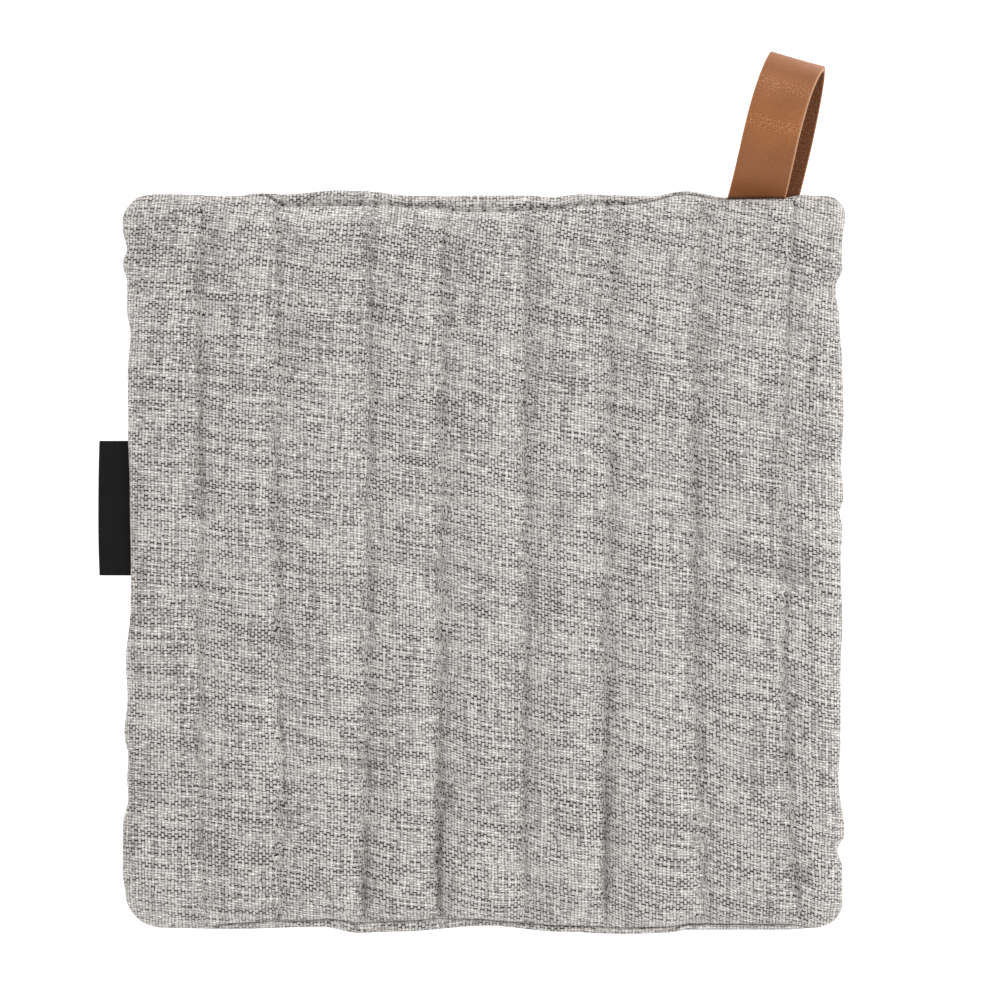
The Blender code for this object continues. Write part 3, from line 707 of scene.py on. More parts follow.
class PadMesh:
    """The whole pad as one closed surface: the face's grid, rings down round the rim, and the
    underside. Front cloth and back cloth have their own weave, and meet at the seam."""

    def __init__(self):
        self.grid = Grid()
        j, i = self.border_at = self.grid.border()
        last_row, last_column = self.grid.last_row, self.grid.last_column
        self.on_bottom, self.on_top = j == 0, j == last_row
        self.on_left, self.on_right = i == 0, i == last_column
        self.points, self.faces, self.backs = [], [], []
        self.front_weave, self.back_weave = [], []
        self.count = 0

    def add_points(self, x, y, z, front, back):
        """Adds points with their places in both cloths, and gives their numbers."""
        first = self.count
        self.points.append(np.stack([x.ravel(), y.ravel(), z.ravel()], axis=1))
        self.front_weave.append(front)
        self.back_weave.append(back)
        self.count += x.size
        return np.arange(first, self.count)

    def add_face_grid(self):
        x, y = self.grid.place(seam_at(1.0))
        z = face_height(self.grid, x, y)
        x, y = round_corner(x, y)
        front = face_weave(self.grid, x, y, z)
        self.face_places = x, y, z
        number = self.add_points(x, y, z, front, np.zeros_like(front)).reshape(x.shape)
        corners = [number[:-1, :-1], number[:-1, 1:], number[1:, 1:], number[1:, :-1]]
        self.add_quads(np.stack(corners, axis=2).reshape(-1, 4), False)
        border = number[self.border_at]
        return border, front[border]

    def add_quads(self, quads, back):
        self.faces += quads.tolist()
        self.backs += [back] * len(quads)

    def seam_shares(self, x, y):
        """How far the seam is open at each border point, and its opening's lips and depth."""
        on_left = self.on_left & ~self.on_top
        share = opened("top", x) * self.on_top + opened("left", y) * on_left
        top, left = (SEAM_OPENINGS[side][2:] for side in ("top", "left"))
        return share, *np.where(self.on_top[:, None], top, left).T

    def ring_places(self, inset):
        """The border's points inside this inset: before and after the corners are rounded."""
        x, y = (place[self.border_at] for place in self.grid.place(inset))
        return x, y, *round_corner(x, y)

    def pulled_in(self, x, y, depths):
        """Border points moved in from their own side."""
        x = x + depths * self.on_left - depths * self.on_right
        y = y + depths * self.on_bottom - depths * self.on_top
        return round_corner(x, y)

    def add_underside(self, ring):
        grid = self.grid
        columns = np.arange(0, grid.last_column + 1, UNDER_STEP)
        rows = np.arange(0, grid.last_row + 1, UNDER_STEP)
        x, y = grid.place(all_round(CONTACT_INSET))
        z = underside_height(x, y)
        x, y = round_corner(x, y)
        number = {(j, i): at for j, i, at in zip(*self.border_at, ring)}
        inner = np.ix_(rows[1:-1], columns[1:-1])
        weave = cloth_counts(x[inner], y[inner])
        added = self.add_points(x[inner], y[inner], z[inner], weave, weave)
        number |= dict(zip(((j, i) for j in rows[1:-1] for i in columns[1:-1]), added))
        for j0, j1 in zip(rows, rows[1:]):
            for i0, i1 in zip(columns, columns[1:]):
                outline = [(j0, i) for i in range(i0, i1)] + [(j, i1) for j in range(j0, j1)]
                outline += [(j1, i) for i in range(i1, i0, -1)] + [(j, i0) for j in range(j1, j0, -1)]
                self.faces.append([number[at] for at in outline if at in number][::-1])
                self.backs.append(True)

    def inside_rings(self, seam_x, seam_y, front):
        """Down inside the seam: a groove, or a mouth that holds what is sewn in."""
        depths = mix(GROOVE * self.rolled, self.deep, self.open)
        x, y = self.pulled_in(seam_x, seam_y, depths)
        for (height, off_lip), lip in zip(INSIDE_SEAM, (self.upper_lip, self.lower_lip)):
            z = mix(height - self.dimples, lip + off_lip, self.open)
            yield self.add_points(x, y, z, front, front)

    def back_rows(self):
        """The back cloth, from the seam over the edge to where the pad lies on the surface."""
        edge_height = ROLLED_ROWS[-1].height
        for row in ROLLED_ROWS:
            straight = mix(edge_height, GROOVE_HEIGHT, row.share)
            height = mix(straight, row.height, self.rolled) - self.dimples * row.share**4
            lip_share = mix(OPENED_EDGE_SHARE, 1.0, min(1.0, row.share / OPENED_LIP_SHARE))
            yield seam_at(row.share), mix(height, self.lower_lip * lip_share, self.open)
        for row in TUCKED_ROWS:
            lowered = row.height * self.lower_lip * OPENED_EDGE_SHARE / edge_height
            yield all_round(row.inset), mix(row.height, lowered, self.open)
        x, y, *_ = self.ring_places(all_round(CONTACT_INSET))
        yield all_round(CONTACT_INSET), underside_height(x, y)

    def build(self):
        seam, front = self.add_face_grid()
        seam_x, seam_y, *_ = self.ring_places(seam_at(1.0))
        edge_x, edge_y, *_ = self.ring_places(all_round(0.0))
        self.open, self.upper_lip, self.lower_lip, self.deep = self.seam_shares(seam_x, seam_y)
        self.rolled = smooth(np.hypot(edge_x - seam_x, edge_y - seam_y) / FULL_ROLL)
        self.dimples = closing_dimples(seam_x) * self.on_top

        rings = [seam, *self.inside_rings(seam_x, seam_y, front)]
        first_back = len(rings)
        places = np.array([(*self.ring_places(inset)[2:], z) for inset, z in self.back_rows()])
        for (x, y, z), weave in zip(places, unrolled(places)):
            rings.append(self.add_points(x, y, z, front, weave))
        for k, (upper, lower) in enumerate(zip(rings, rings[1:])):
            quads = np.stack([upper, lower, np.roll(lower, -1), np.roll(upper, -1)], axis=1)
            self.add_quads(quads, k >= first_back)
        self.add_underside(rings[-1])
        return self.made()

    def made(self):
        points = np.concatenate(self.points) * MM
        mesh = new_mesh("quilted_pad", points.tolist(), self.faces)
        vertex = np.empty(len(mesh.loops), np.int32)
        mesh.loops.foreach_get("vertex_index", vertex)
        back = np.repeat(self.backs, [len(face) for face in self.faces])
        front_weave, back_weave = np.concatenate(self.front_weave), np.concatenate(self.back_weave)
        weave = np.where(back[:, None], back_weave[vertex], front_weave[vertex])
        set_map(mesh, "weave", weave)
        set_map(mesh, "sewn", from_sewing(points / MM)[vertex])
        set_map(mesh, "OFBake", bake_places(points[vertex] / MM, weave, back))
        return mesh


# ------------------------------------ stitches


def thread_tube(points):
    """A thread along these points, with closed ends, as points and faces."""
    points = np.array(points, float)
    forward = np.gradient(points, axis=0)
    forward /= np.linalg.norm(forward, axis=1)[:, None]
    across = np.cross(forward, (0, 0, 1.0))
    across /= np.maximum(np.linalg.norm(across, axis=1), TINY)[:, None]
    up = np.cross(across, forward)
    turns = 2 * np.pi * np.arange(THREAD_SIDES) / THREAD_SIDES
    out = across[:, None] * np.cos(turns)[:, None] + up[:, None] * np.sin(turns)[:, None]
    rings = points[:, None] + THREAD / 2 * out
    number = np.arange(len(points) * THREAD_SIDES).reshape(len(points), THREAD_SIDES)
    after = np.roll(number, -1, axis=1)
    quads = np.stack([number[:-1], after[:-1], after[1:], number[1:]], axis=2).reshape(-1, 4)
    return rings.reshape(-1, 3), quads.tolist() + [number[0][::-1].tolist(), number[-1].tolist()]


def stitch(start, end, lift):
    """One stitch: up out of the cloth, over it, and back in."""
    start, end = np.array(start, float), np.array(end, float)
    arch = [(share, height * lift) for share, height in STITCH_ARCH]
    line = ((0.0, -THREAD), *arch, (1.0, -THREAD))
    return thread_tube([mix(start, end, share) + (0, 0, height) for share, height in line])


def joined(name, tubes, material):
    points, faces, first = [], [], 0
    for tube_points, tube_faces in tubes:
        points.append(tube_points)
        faces += [[first + k for k in face] for face in tube_faces]
        first += len(tube_points)
    mesh = new_mesh(name, (np.concatenate(points) * MM).tolist(), faces)
    return new_object(name, mesh, material)


def channel_stitches(pad, material):
    middles = np.arange(-PAD_LENGTH / 2 + STITCH_CLEAR, PAD_LENGTH / 2 - STITCH_CLEAR, STITCH_PITCH)
    middles = np.round(middles / STITCH_PITCH) * STITCH_PITCH + STITCH_PITCH / 2
    tubes = []
    for number in range(1, len(CHANNELS) + 1):
        line = [place[:, number * PILLOW_COLUMNS] for place in pad.face_places]
        for middle in middles:
            at = np.array([middle - STITCH_LENGTH / 2, middle + STITCH_LENGTH / 2])
            start, end = np.array([np.interp(at, line[1], values) for values in line]).T
            tubes.append(stitch(start, end, THREAD * STITCH_LIFT))
    return joined("channel_stitches", tubes, material)


def closing_stitches(pad, material):
    """The row of hand-sized stitches that closes the gap the pad was turned through."""
    x, y, *_ = pad.ring_places(seam_at(ROLLED_ROWS[0].share))
    order = np.argsort(x[pad.on_top])
    line_x, line_y = x[pad.on_top][order], y[pad.on_top][order]
    tubes = []
    for start in np.arange(CLOSING_FROM, CLOSING_TO, CLOSING_PITCH):
        ends = []
        for at in (start + CLOSING_END, start + CLOSING_PITCH - CLOSING_END):
            ends.append((at, np.interp(at, line_x, line_y), SEAM_HEIGHT - HOLE_DEPTH / 2))
        tubes.append(stitch(*ends, HOLE_DEPTH / 2))
    return joined("closing_stitches", tubes, material)


# ------------------------------------ the loop


def strap_route_at(share):
    """The route at this share of its rows, on a smooth curve through them."""
    spans = len(STRAP_ROUTE) - 1
    span = min(int(share * spans), spans - 1)
    t = share * spans - span
    rows = [STRAP_ROUTE[min(max(span + k, 0), spans)] for k in (-1, 0, 1, 2)]
    weights = (
        (-t + 2 * t**2 - t**3) / 2,
        (2 - 5 * t**2 + 3 * t**3) / 2,
        (t + 4 * t**2 - 3 * t**3) / 2,
        (-(t**2) + t**3) / 2,
    )
    return Route(*(sum(w * value for w, value in zip(weights, column)) for column in zip(*rows)))


def strap_place(share):
    """A point on the strap's middle line, and the strap's own width direction there."""
    along, over, aside, degrees = strap_route_at(share)
    lean = Vector((math.sin(STRAP_LEAN), math.cos(STRAP_LEAN), 0))
    right = Vector((math.cos(STRAP_LEAN), -math.sin(STRAP_LEAN), 0))
    roll = math.radians(degrees)
    across = right * math.cos(roll) + Vector((0, 0, math.sin(roll)))
    return Vector(STRAP_FOOT) + lean * along + right * aside + Vector((0, 0, over)), across


def strap_profile():
    """The strap's section, as places across it and through it, and the finish after each one."""
    half, thick, bend = STRAP_WIDTH / 2, STRAP_THICKNESS / 2, STRAP_EDGE_ROUND
    spread = np.linspace(-half + bend, half - bend, STRAP_COLUMNS + 1)
    turns = np.radians((60, 30, 0))
    right = [(half - bend + bend * math.cos(t), thick - bend + bend * math.sin(t)) for t in turns]
    edge = right + [(a, -b) for a, b in right[::-1]]
    outer, inner = [(a, thick) for a in spread], [(a, -thick) for a in spread[::-1]]
    finishes = [GRAIN] * STRAP_COLUMNS + [CUT] * (len(edge) + 1)
    finishes += [SUEDE] * STRAP_COLUMNS + [CUT] * (len(edge) + 1)
    return outer + edge + inner + [(-a, -b) for a, b in edge], finishes


def strap_rings(profile):
    """The strap's points, ring by ring, and how far along the strap each ring is."""
    rings, travelled, gone, last = [], [], 0.0, strap_place(0.0)[0]
    step = 0.5 / STRAP_SECTIONS
    for k in range(STRAP_SECTIONS + 1):
        share = k / STRAP_SECTIONS
        place, across = strap_place(share)
        ahead = strap_place(min(share + step, 1.0))[0] - strap_place(max(share - step, 0.0))[0]
        forward = ahead.normalized()
        out = across.cross(forward).normalized()
        level = forward.cross(out)
        gone += (place - last).length
        last = place
        travelled.append(gone)
        rings.append([tuple((place + level * a + out * b) * MM) for a, b in profile])
    return rings, travelled


def build_loop(grain, cut, suede):
    profile, finishes = strap_profile()
    rings, travelled = strap_rings(profile)
    sides = len(profile)
    quads = list(tube_corners(len(rings), sides))
    faces = numbered(quads, sides)
    faces += [list(range(sides))[::-1], [STRAP_SECTIONS * sides + k for k in range(sides)]]
    places = [(profile[k][0], travelled[r]) for quad in quads for r, k in quad]
    points = [point for ring in rings for point in ring]
    mesh = new_mesh("hanging_strap", points, faces, STRAP_SHARP)
    mesh.polygons.foreach_set("material_index", finishes * STRAP_SECTIONS + [CUT, CUT])
    set_map(mesh, "leather", places + profile[::-1] + profile)
    return new_object("hanging_strap", mesh, grain, cut, suede)


# ------------------------------------ the label


def tape_line(share):
    """The folded tape's middle line at this share of the label's length, as x and z."""
    wave = LABEL_WAVE * math.sin(2 * math.pi * LABEL_WAVES * share)
    bow = LABEL_BOW * math.sin(math.pi * share)
    fold = TAPE_APART / 2
    edge = LABEL_EDGE + LABEL_BOW - bow + fold + TAPE_THICKNESS / 2
    low = LABEL_HEIGHT - LABEL_DROOP + wave

    def layer(side):
        shares = np.linspace(0, 1, TAPE_STEPS + 1)
        heights = mix(LABEL_HEIGHT, low, smooth(shares)) + side * fold
        return list(zip(mix(LABEL_TUCK, edge, shares), heights))

    turns = np.radians(np.linspace(90, 270, TAPE_FOLD_STEPS + 1))[1:-1]
    bend = [(edge + fold * math.cos(t), low + fold * math.sin(t)) for t in turns]
    return layer(1) + bend + layer(-1)[::-1]


def tape_section(share):
    """The tape's outline there, as x and z, and how far along the tape each point is."""
    line = np.array(tape_line(share))
    ahead = np.gradient(line, axis=0)
    ahead /= np.linalg.norm(ahead, axis=1)[:, None]
    out = np.stack([ahead[:, 1], -ahead[:, 0]], axis=1) * (TAPE_THICKNESS / 2)
    gone = np.append(0, np.linalg.norm(np.diff(line, axis=0), axis=1).cumsum())
    return np.concatenate([line - out, (line + out)[::-1]]), [*gone, *gone[::-1]]


def build_label(material):
    shares = [k / LABEL_ROWS for k in range(LABEL_ROWS + 1)]
    heights = [mix(LABEL_BOTTOM, LABEL_TOP, share) for share in shares]
    outlines, places = zip(*(tape_section(share) for share in shares))
    points = [(x * MM, y * MM, z * MM) for outline, y in zip(outlines, heights) for x, z in outline]
    sides = len(places[0])
    quads = list(tube_corners(LABEL_ROWS + 1, sides))
    faces = numbered(quads, sides)
    maps = [(places[r][k], heights[r]) for quad in quads for r, k in quad]
    for r, order in ((0, 1), (LABEL_ROWS, -1)):
        for k in range(sides // 2 - 1):
            quad = [k, sides - 1 - k, sides - 2 - k, k + 1][::order]
            faces.append([r * sides + at for at in quad])
            maps += [(places[r][at], at * TAPE_END_STEP) for at in quad]
    mesh = new_mesh("folded_label", points, faces, TAPE_SHARP)
    set_map(mesh, "tape", maps)
    return new_object("folded_label", mesh, material)


# ----------------------- how materials are made


def feed(slot, value):
    """Links a wire or a socket to a node's input, or sets the input to a number or a colour."""
    if isinstance(value, Wire):
        value = value.socket
    if isinstance(value, bpy.types.NodeSocket):
        slot.id_data.links.new(value, slot)
    elif isinstance(value, tuple):
        slot.default_value = (*value, 1.0)
    else:
        slot.default_value = value


def feed_all(slots, values):
    for slot, value in zip(slots, values):
        feed(slot, value)


class Wire:
    """A value in a material's nodes. Arithmetic on it adds the nodes that work it out."""

    def __init__(self, socket):
        self.socket = socket

    def then(self, operation, *others):
        node = self.socket.id_data.nodes.new("ShaderNodeMath")
        node.operation = operation
        feed_all(node.inputs, (self, *others))
        return Wire(node.outputs[0])

    __add__ = partialmethod(then, "ADD")
    __sub__ = partialmethod(then, "SUBTRACT")
    __mul__ = partialmethod(then, "MULTIPLY")
    __truediv__ = partialmethod(then, "DIVIDE")
    floor = partialmethod(then, "FLOOR")
    fraction = partialmethod(then, "FRACT")
    cosine = partialmethod(then, "COSINE")
    above = partialmethod(then, "GREATER_THAN")
    highest = partialmethod(then, "MAXIMUM")
    size = partialmethod(then, "ABSOLUTE")

    def squared(self):
        return self * self

    def root(self):
        return self.highest(0.0).then("SQRT")

    def share_between(self, low, high, kind="LINEAR"):
        """0 below low, 1 above high, and part of the way between them."""
        node = self.socket.id_data.nodes.new("ShaderNodeMapRange")
        node.interpolation_type = kind
        feed_all([node.inputs[name] for name in ("Value", "From Min", "From Max")], (self, low, high))
        return Wire(node.outputs["Result"])

    def step_between(self, low, high):
        return self.share_between(low, high, "SMOOTHSTEP")


class Finish:
    """A material under construction: its nodes, its shader, and wires to its mesh's maps."""

    def __init__(self, name, **sockets):
        self.material = bpy.data.materials.new(name)
        self.material.use_nodes = True
        self.tree = self.material.node_tree
        self.shader = self.tree.nodes["Principled BSDF"]
        for socket, value in sockets.items():
            self.shader.inputs[socket.replace("_", " ")].default_value = value

    def node(self, kind, **inputs):
        node = self.tree.nodes.new("ShaderNode" + kind)
        for name, value in inputs.items():
            feed(node.inputs[name], value)
        return node

    def split(self, socket):
        return [Wire(part) for part in self.node("SeparateXYZ", Vector=socket).outputs]

    def map(self, name):
        node = self.node("UVMap")
        node.uv_map = name
        return self.split(node.outputs[0])[:2]

    def object_places(self):
        """A place on the object, in metres."""
        return self.split(self.node("TexCoord").outputs["Object"])

    def vector(self, values):
        node = self.node("CombineXYZ")
        feed_all(node.inputs, values)
        return node.outputs[0]

    def noise(self, *place, detail=0.0, rough=0.5):
        place = self.vector(place)
        node = self.node("TexNoise", Vector=place, Scale=1.0, Detail=detail, Roughness=rough)
        return Wire(node.outputs[0])

    def soft(self, *place):
        """Smooth noise, mostly from 0.1 to 0.9."""
        return self.noise(*place) * 1.7 - 0.35

    def chance(self, *place):
        """A fixed random value for each whole-numbered place."""
        return Wire(self.node("TexWhiteNoise", Vector=self.vector(place)).outputs["Value"])

    def run(self, along, yarn, seed):
        """Random values along each yarn, easing from one whole number to the next."""
        start = along.floor()
        near, far = self.chance(start, yarn, seed), self.chance(start + 1.0, yarn, seed)
        return near + (far - near) * (along - start).step_between(0.0, 1.0)

    def cells(self, *place):
        node = self.node("TexVoronoi", Vector=self.vector(place), Scale=1.0)
        return Wire(node.outputs["Distance"])

    def ramp(self, wire, *stops):
        """Colours along a wire's values. Each stop is a place and a colour."""
        node = self.node("ValToRGB", Fac=wire)
        elements = node.color_ramp.elements
        while len(elements) < len(stops):
            elements.new(1.0)
        for element, (place, color) in zip(elements, stops):
            element.position = place
            element.color = (*color, 1.0)
        return node.outputs[0]

    def blended(self, share, a, b, kind="MIX"):
        node = self.node("Mix")
        node.data_type = "RGBA"
        node.blend_type = kind
        feed_all([slot for slot in node.inputs if slot.enabled], (share, a, b))
        return [slot for slot in node.outputs if slot.enabled][0]

    def times(self, color, factor):
        return self.blended(1.0, color, factor, "MULTIPLY")

    def grey(self, wire):
        return self.node("CombineColor", Red=wire, Green=wire, Blue=wire).outputs[0]

    def color(self, socket):
        feed(self.shader.inputs["Base Color"], socket)

    def roughness(self, wire):
        feed(self.shader.inputs["Roughness"], wire)

    def bump(self, wire, height):
        """Raises the surface by the wire's value times this height, in mm."""
        node = self.node("Bump", Distance=height * MM, Height=wire)
        feed(self.shader.inputs["Normal"], node.outputs[0])


# ------------------------------------ the cloth


def cloth_grey(value):
    """The cloth's greys are all slightly warm."""
    return value * 1.05, value, value * 0.96


# Widths, heights and wandering are in pitches of the yarns, and a noise's scale in lumps to a
# yarn. The last number in a noise's place, or in a run, keeps it apart from the others.
YARN_WANDER = 0.38
YARN_WIDTH_RUN = 0.2  # changes of a yarn's width for each yarn passed
WARP_WIDE, WARP_WIDE_VARIES = 0.665, 0.115
WEFT_WIDE, WEFT_WIDE_VARIES = 0.5, 0.25
WEAVE_CRIMP = 0.5  # how far a yarn rises and falls as it passes over and under
WEAVE_BOTTOM = -0.6
WEAVE_TOP = 0.55
STRANDS = 2.35  # pale ones that each weft is spun from
STRAND_RUN = 0.94  # changes of their shade for each warp passed
DARK_LONG_RUN, DARK_SHORT_RUN = 0.1, 0.7  # changes along a weft's dark strand
DARK_SHORT_SHARE = 0.4
DARK_FROM, DARK_FULL = 0.44, 0.515
DARK_WIDE, DARK_SOFT = 0.23, 0.02
DARK_SPREAD = 0.95  # how much of its weft the dark strand ranges over
DARK_SPREAD_SLOWER = 0.77  # than its long runs, as it wanders across
DARK_SHADE = 0.028
SHOW_THROUGH = 0.055  # how much of the weft under it tints a warp
GAP_FROM, GAP_SHADE = 0.57, 0.22  # beside a warp
HOLLOW_FROM, HOLLOW_SHADE = 0.54, 0.11  # beside a weft
WEAVE_SHADE = 0.74
WEAVE_DEPTH = 0.06  # in mm
SEWN_REACH = 3.5  # how far in mm from a channel's stitches they crumple the cloth
SEWN_PULL = 1.1
SEWN_SHADE = 0.08
HOLE_DARK_REACH, HOLE_DARK_FULL = 1.3, 0.3  # mm from a closing stitch's hole: its shade's ends
HOLE_SHADE = 0.75
STRAND_SHADES = ((0.0, cloth_grey(0.17)), (0.42, cloth_grey(0.42)), (0.64, cloth_grey(0.78)))
WARP_SHADES = ((0.2, cloth_grey(0.34)), (0.45, cloth_grey(0.53)), (0.75, cloth_grey(0.6)))
WARP_RUNS = ((0.06, 12.0, 0.6), (0.5, 13.0, 0.4))  # changes for each weft, seed, and share

# A place in the weave: in yarns, the yarns' numbers, and how far it is off their middles.
Weave = namedtuple("Weave", "u v warp weft off_warp off_weft")


def crumpled_weave(finish, beside):
    """The weave's own places, wandering a little and crumpled beside the channels' stitches."""
    u, v = finish.map("weave")
    pulled = beside * SEWN_PULL
    shift_u = (finish.soft(u * 0.31, v * 0.27, 1.5) - 0.5) * YARN_WANDER
    shift_v = (finish.soft(u * 0.23, v * 0.37, 7.5) - 0.5) * YARN_WANDER
    crumpled = finish.soft(u * 0.55, v * 0.45, 3.5)
    u = u + shift_u + (crumpled - 0.5) * pulled
    v = v + shift_v + (finish.soft(u * 0.5, v * 0.5, 5.5) - 0.5) * pulled
    warp, weft = u.floor(), v.floor()
    return Weave(u, v, warp, weft, u - warp - 0.5, v - weft - 0.5), crumpled


def yarn_tops(finish, weave):
    """How high the warp and the weft stand here. Past a yarn's own width its top is far down."""
    over = ((weave.warp + weave.weft) * 0.5).fraction() * 4.0 - 1.0  # 1 with the warp on top, or -1
    crimp = over * WEAVE_CRIMP
    warp_wide = finish.run(weave.v * YARN_WIDTH_RUN, weave.warp, 31.0) * WARP_WIDE_VARIES + WARP_WIDE
    weft_wide = finish.run(weave.u * YARN_WIDTH_RUN, weave.weft, 32.0) * WEFT_WIDE_VARIES + WEFT_WIDE
    warp_round = (weave.off_warp * 2.0 / warp_wide).squared() * -1.0 + 1.0
    weft_round = (weave.off_weft * 2.0 / weft_wide).squared() * -1.0 + 1.0
    warp_top = warp_round.root() * 0.5 + crimp * (weave.off_weft * math.pi).cosine()
    weft_top = weft_round.root() * 0.5 - crimp * (weave.off_warp * math.pi).cosine()
    warp_top = warp_top - (warp_round * -1.0).above(0.0) * 2.0
    weft_top = weft_top - (weft_round * -1.0).above(0.0) * 2.0
    return warp_top, weft_top


def weft_colors(finish, weave):
    """Pale strands side by side, and one dark strand that comes and goes and wanders across."""
    strand = (weave.v * STRANDS + finish.soft(weave.u * 0.15, weave.v * 0.5, 4.5)).floor()
    pale = finish.ramp(finish.run(weave.u * STRAND_RUN, strand, 7.0), *STRAND_SHADES)
    long_run = finish.run(weave.u * DARK_LONG_RUN, weave.weft, 17.0) * (1 - DARK_SHORT_SHARE)
    short_run = finish.run(weave.u * DARK_SHORT_RUN, weave.weft, 8.0) * DARK_SHORT_SHARE
    dark = (long_run + short_run).share_between(DARK_FROM, DARK_FULL)
    slower = weave.u * DARK_LONG_RUN * DARK_SPREAD_SLOWER
    spread = (finish.run(slower, weave.weft, 70.0) - 0.5) * DARK_SPREAD
    within = (dark * 0.5 + 0.5) * DARK_WIDE - (weave.off_weft - spread).size()
    dark = dark * within.share_between(-DARK_SOFT, 0.0)
    return finish.blended(dark, pale, cloth_grey(DARK_SHADE))


def warp_colors(finish, weave, weft_color):
    first, second = (finish.run(weave.v * rate, weave.warp, seed) * share for rate, seed, share in WARP_RUNS)
    return finish.blended(SHOW_THROUGH, finish.ramp(first + second, *WARP_SHADES), weft_color)


def marled_cloth():
    """Plain weave of pale warps and marled wefts, crumpled where it is sewn, with painted shade there and
    between its yarns.
    """
    finish = Finish("marled_cloth", Roughness=0.9, Specular_IOR_Level=0.15, Sheen_Weight=0.12)
    channel, hole = finish.map("sewn")
    beside = channel.step_between(SEWN_REACH, 0.0)
    weave, crumpled = crumpled_weave(finish, beside)
    warp_top, weft_top = yarn_tops(finish, weave)
    height = warp_top.highest(weft_top).highest(WEAVE_BOTTOM)

    weft_color = weft_colors(finish, weave)
    warp_color = warp_colors(finish, weave, weft_color)
    color = finish.blended(warp_top.above(weft_top), weft_color, warp_color)

    # Painted shade: darker down between the yarns, in the gaps beside the warps and wefts, in the crumpled
    # cloth beside the channels, and round the closing stitches' holes.
    depth = height.step_between(WEAVE_BOTTOM, WEAVE_TOP) * WEAVE_SHADE + (1 - WEAVE_SHADE)
    gap = (weave.off_warp.size() * 2.0).share_between(GAP_FROM, 1.0) * -GAP_SHADE + 1.0
    hollow = (weave.off_weft.size() * 2.0).share_between(HOLLOW_FROM, 1.0) * -HOLLOW_SHADE + 1.0
    painted_crease_shade = beside * crumpled * -SEWN_SHADE + 1.0
    painted_hole_shade = hole.step_between(HOLE_DARK_REACH, HOLE_DARK_FULL) * -HOLE_SHADE + 1.0
    finish.color(finish.times(color, finish.grey(depth * gap * hollow * painted_crease_shade * painted_hole_shade)))
    finish.bump(height, WEAVE_DEPTH)
    return finish.material


THREAD_TWIST = 0.35  # mm from one turn of the thread to the next


def sewing_thread():
    finish = Finish("sewing_thread", Roughness=0.7, Sheen_Weight=0.2)
    x, y, z = finish.object_places()
    twist = ((x + y + z) * (2 * math.pi / (THREAD_TWIST * MM))).cosine()
    # Painted shade: darker down between the turns of its twist, paler on them.
    finish.color(finish.ramp(twist * 0.5 + 0.5, (0.0, (0.4, 0.39, 0.37)), (1.0, (0.66, 0.64, 0.61))))
    finish.bump(twist, 0.03)
    return finish.material


# ---------------------- leather, tape and paper

# How bright the leather is painted along the strap, from its front end: a painted sheen over
# its two soft bends, and painted shade elsewhere.
LEATHER_PAINTED_LIGHT = (
    (5.0, 0.87), (19.0, 0.87), (23.6, 0.99), (27.5, 1.08), (30.5, 1.02), (35.0, 0.95),
    (39.4, 0.95), (41.8, 0.78), (44.9, 0.88), (49.0, 0.95),
)
PAINTED_LIGHT_LENGTH = 50.0
FULL_TONE = 1.1  # the ramp's white stands for this much of the leather's colour
SHEEN_BAND_MIDDLES = (27.3, 37.8)  # the middles of those two bends, and of the painted sheen bands over them
SHEEN_BAND_REACH = 3.4
FLECKS, SHEEN_BAND_GLINTS = 0.75, 2.0  # how strong the grain's flecks are, and how much more as painted glints in the sheen bands
PEBBLE_RATE, SPECKLE_RATE = 2.3, 2.6  # to a mm
# The palest colour is that of the grain's flecks, and of the painted glints in the sheen bands.
LEATHER_LOW, LEATHER_HIGH, LEATHER_FLECK_AND_GLINT = (0.225, 0.073, 0.02), (0.43, 0.163, 0.056), (0.66, 0.36, 0.2)
# Painted shade where the strap bends down into the seam, and a painted shadow line where it goes
# under the seam's lip: a colour, and where that fades, in mm out of the seam.
LEATHER_SEAM_SHADE, SEAM_SHADE_FADE = (0.22, 0.062, 0.008), (-0.5, 9.0)
LEATHER_LIP_SHADOW, LIP_SHADOW_FADE = (0.05, 0.015, 0.005), (0.2, 1.3)
RIB_PITCH, TAPE_THREAD = 0.21, 0.3
TAPE_DARK, TAPE_LIGHT = (0.001, 0.0009, 0.001), (0.0075, 0.0067, 0.0067)


def out_of_seam(across, along):
    """How far a place on the strap's front arm is out of the seam, which the strap leaves aslant."""
    return (along - STRAP_TUCK) * math.cos(STRAP_LEAN) - across * math.sin(STRAP_LEAN)


